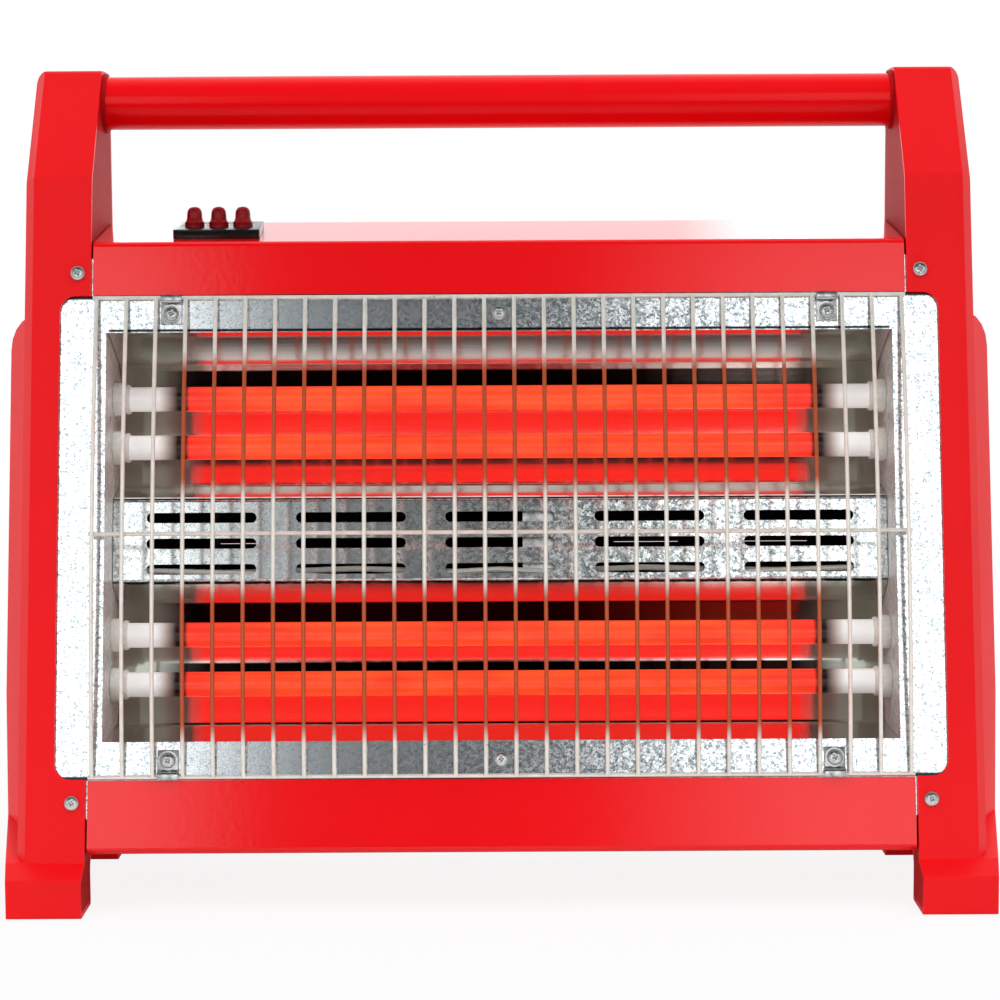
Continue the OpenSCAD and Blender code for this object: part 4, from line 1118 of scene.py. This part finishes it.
fadeFrom, fadeTo = studio["floorFade"]
away = addNode(
    tree,
    "MapRange",
    {"Value": place.outputs[1], "From Min": fadeFrom, "From Max": fadeTo},
    interpolation_type="SMOOTHSTEP",
)
floorShade = addNode(
    tree,
    "Mix",
    {0: away.outputs[0], 6: linearColour(studio["floorHex"]), 7: linearColour(studio["floorDarkHex"])},
    data_type="RGBA",
)
tree.links.new(floorShade.outputs[2], shader.inputs["Base Color"])
shader.inputs["Roughness"].default_value = 0.9
shader.inputs["Specular IOR Level"].default_value = 0.0
# the camera sees the floor white, but for some of the object's shadow
shadowFrom, shadowTo = studio["shadowReach"]
whiteFloor = addNode(tree, "Emission", {"Color": white, "Strength": 1.0})
cameraRay = addNode(tree, "LightPath").outputs["Is Camera Ray"]
fromObject = addNode(tree, "VectorMath", {0: point}, operation="LENGTH")
whitened = addNode(
    tree,
    "MapRange",
    {
        "Value": fromObject.outputs["Value"],
        "From Min": shadowFrom,
        "From Max": shadowTo,
        "To Min": 1.0 - studio["shadowShare"],
        "To Max": 1.0,
    },
)
shown = addNode(tree, "Math", {0: cameraRay, 1: whitened.outputs[0]}, operation="MULTIPLY")
mixed = addNode(
    tree, "MixShader", {0: shown.outputs[0], 1: shader.outputs[0], 2: whiteFloor.outputs[0]}
)
output = next(n for n in tree.nodes if n.type == "OUTPUT_MATERIAL")
tree.links.new(mixed.outputs[0], output.inputs["Surface"])
floor.data.materials.append(floorMaterial)

world = bpy.data.worlds.new("studio")
bpy.context.scene.world = world
world.use_nodes = True
tree = world.node_tree
tree.nodes.clear()
# the room that shines in the object: white behind it and at its sides, dark around the camera
direction = addNode(tree, "TexCoord").outputs["Generated"]
toRight, toRear, toTop = addNode(tree, "SeparateXYZ", {0: direction}).outputs
spanFrom, spanTo = studio["rearSpan"]
rear = addNode(
    tree,
    "MapRange",
    {"Value": toRear, "From Min": spanFrom, "From Max": spanTo, "To Max": studio["rearGlow"]},
)
wingParts = []
for side in ("right", "left"):
    spanFrom, spanTo = studio[side + "Span"]
    part = addNode(
        tree,
        "MapRange",
        {"Value": toRight, "From Min": spanFrom, "From Max": spanTo, "To Max": studio[side + "Wing"]},
    )
    wingParts.append(part.outputs[0])
wings = addNode(tree, "Math", {0: wingParts[0], 1: wingParts[1]}, operation="MAXIMUM")
spanFrom, spanTo = studio["wingTop"]
below = addNode(tree, "MapRange", {"Value": toTop, "From Min": spanFrom, "From Max": spanTo})
wings = addNode(tree, "Math", {0: wings.outputs[0], 1: below.outputs[0]}, operation="MULTIPLY")
aside = addNode(tree, "Math", {0: toRight}, operation="ABSOLUTE")
spanFrom, spanTo = studio["beyondSpan"]
beyond = addNode(
    tree,
    "MapRange",
    {
        "Value": aside.outputs[0],
        "From Min": spanFrom,
        "From Max": spanTo,
        "To Min": 1.0,
        "To Max": studio["beyondWings"],
    },
)
wings = addNode(tree, "Math", {0: wings.outputs[0], 1: beyond.outputs[0]}, operation="MULTIPLY")
room = addNode(tree, "Math", {0: wings.outputs[0], 1: rear.outputs[0]}, operation="MAXIMUM")
room = addNode(tree, "Math", {0: room.outputs[0], 1: studio["behindCamera"]}, operation="MAXIMUM")
# glossy rays see the room, the camera sees white, and the rest is plain fill
rays = addNode(tree, "LightPath")
seen = addNode(
    tree,
    "Math",
    {0: rays.outputs["Is Camera Ray"], 1: rays.outputs["Is Transmission Ray"]},
    operation="MAXIMUM",
)
glossy = addNode(
    tree, "Math", {0: rays.outputs["Is Glossy Ray"], 1: room.outputs[0]}, operation="MULTIPLY"
)
fill = addNode(
    tree,
    "Math",
    {0: rays.outputs["Is Glossy Ray"], 1: -studio["fill"], 2: studio["fill"]},
    operation="MULTIPLY_ADD",
)
unseen = addNode(tree, "Math", {0: glossy.outputs[0], 1: fill.outputs[0]}, operation="ADD")
strength = addNode(tree, "Math", {0: seen.outputs[0], 1: unseen.outputs[0]}, operation="MAXIMUM")
background = addNode(tree, "Background", {"Color": white, "Strength": strength.outputs[0]})
addNode(tree, "OutputWorld", {"Surface": background.outputs[0]})

for name, (place, size, watts) in studio["lamps"].items():
    lampData = bpy.data.lights.new(name, "AREA")
    lampData.shape = "RECTANGLE"
    lampData.size, lampData.size_y = size
    lampData.energy = watts
    lamp = bpy.data.objects.new(name, lampData)
    bpy.context.scene.collection.objects.link(lamp)
    aimed = (Vector(studio["lampAim"]) - Vector(place)).to_track_quat("-Z", "Y")
    lamp.matrix_world = Matrix.Translation(place) @ aimed.to_matrix().to_4x4()
    lamp.visible_glossy = False  # the room alone shines in the object
print("studio made")
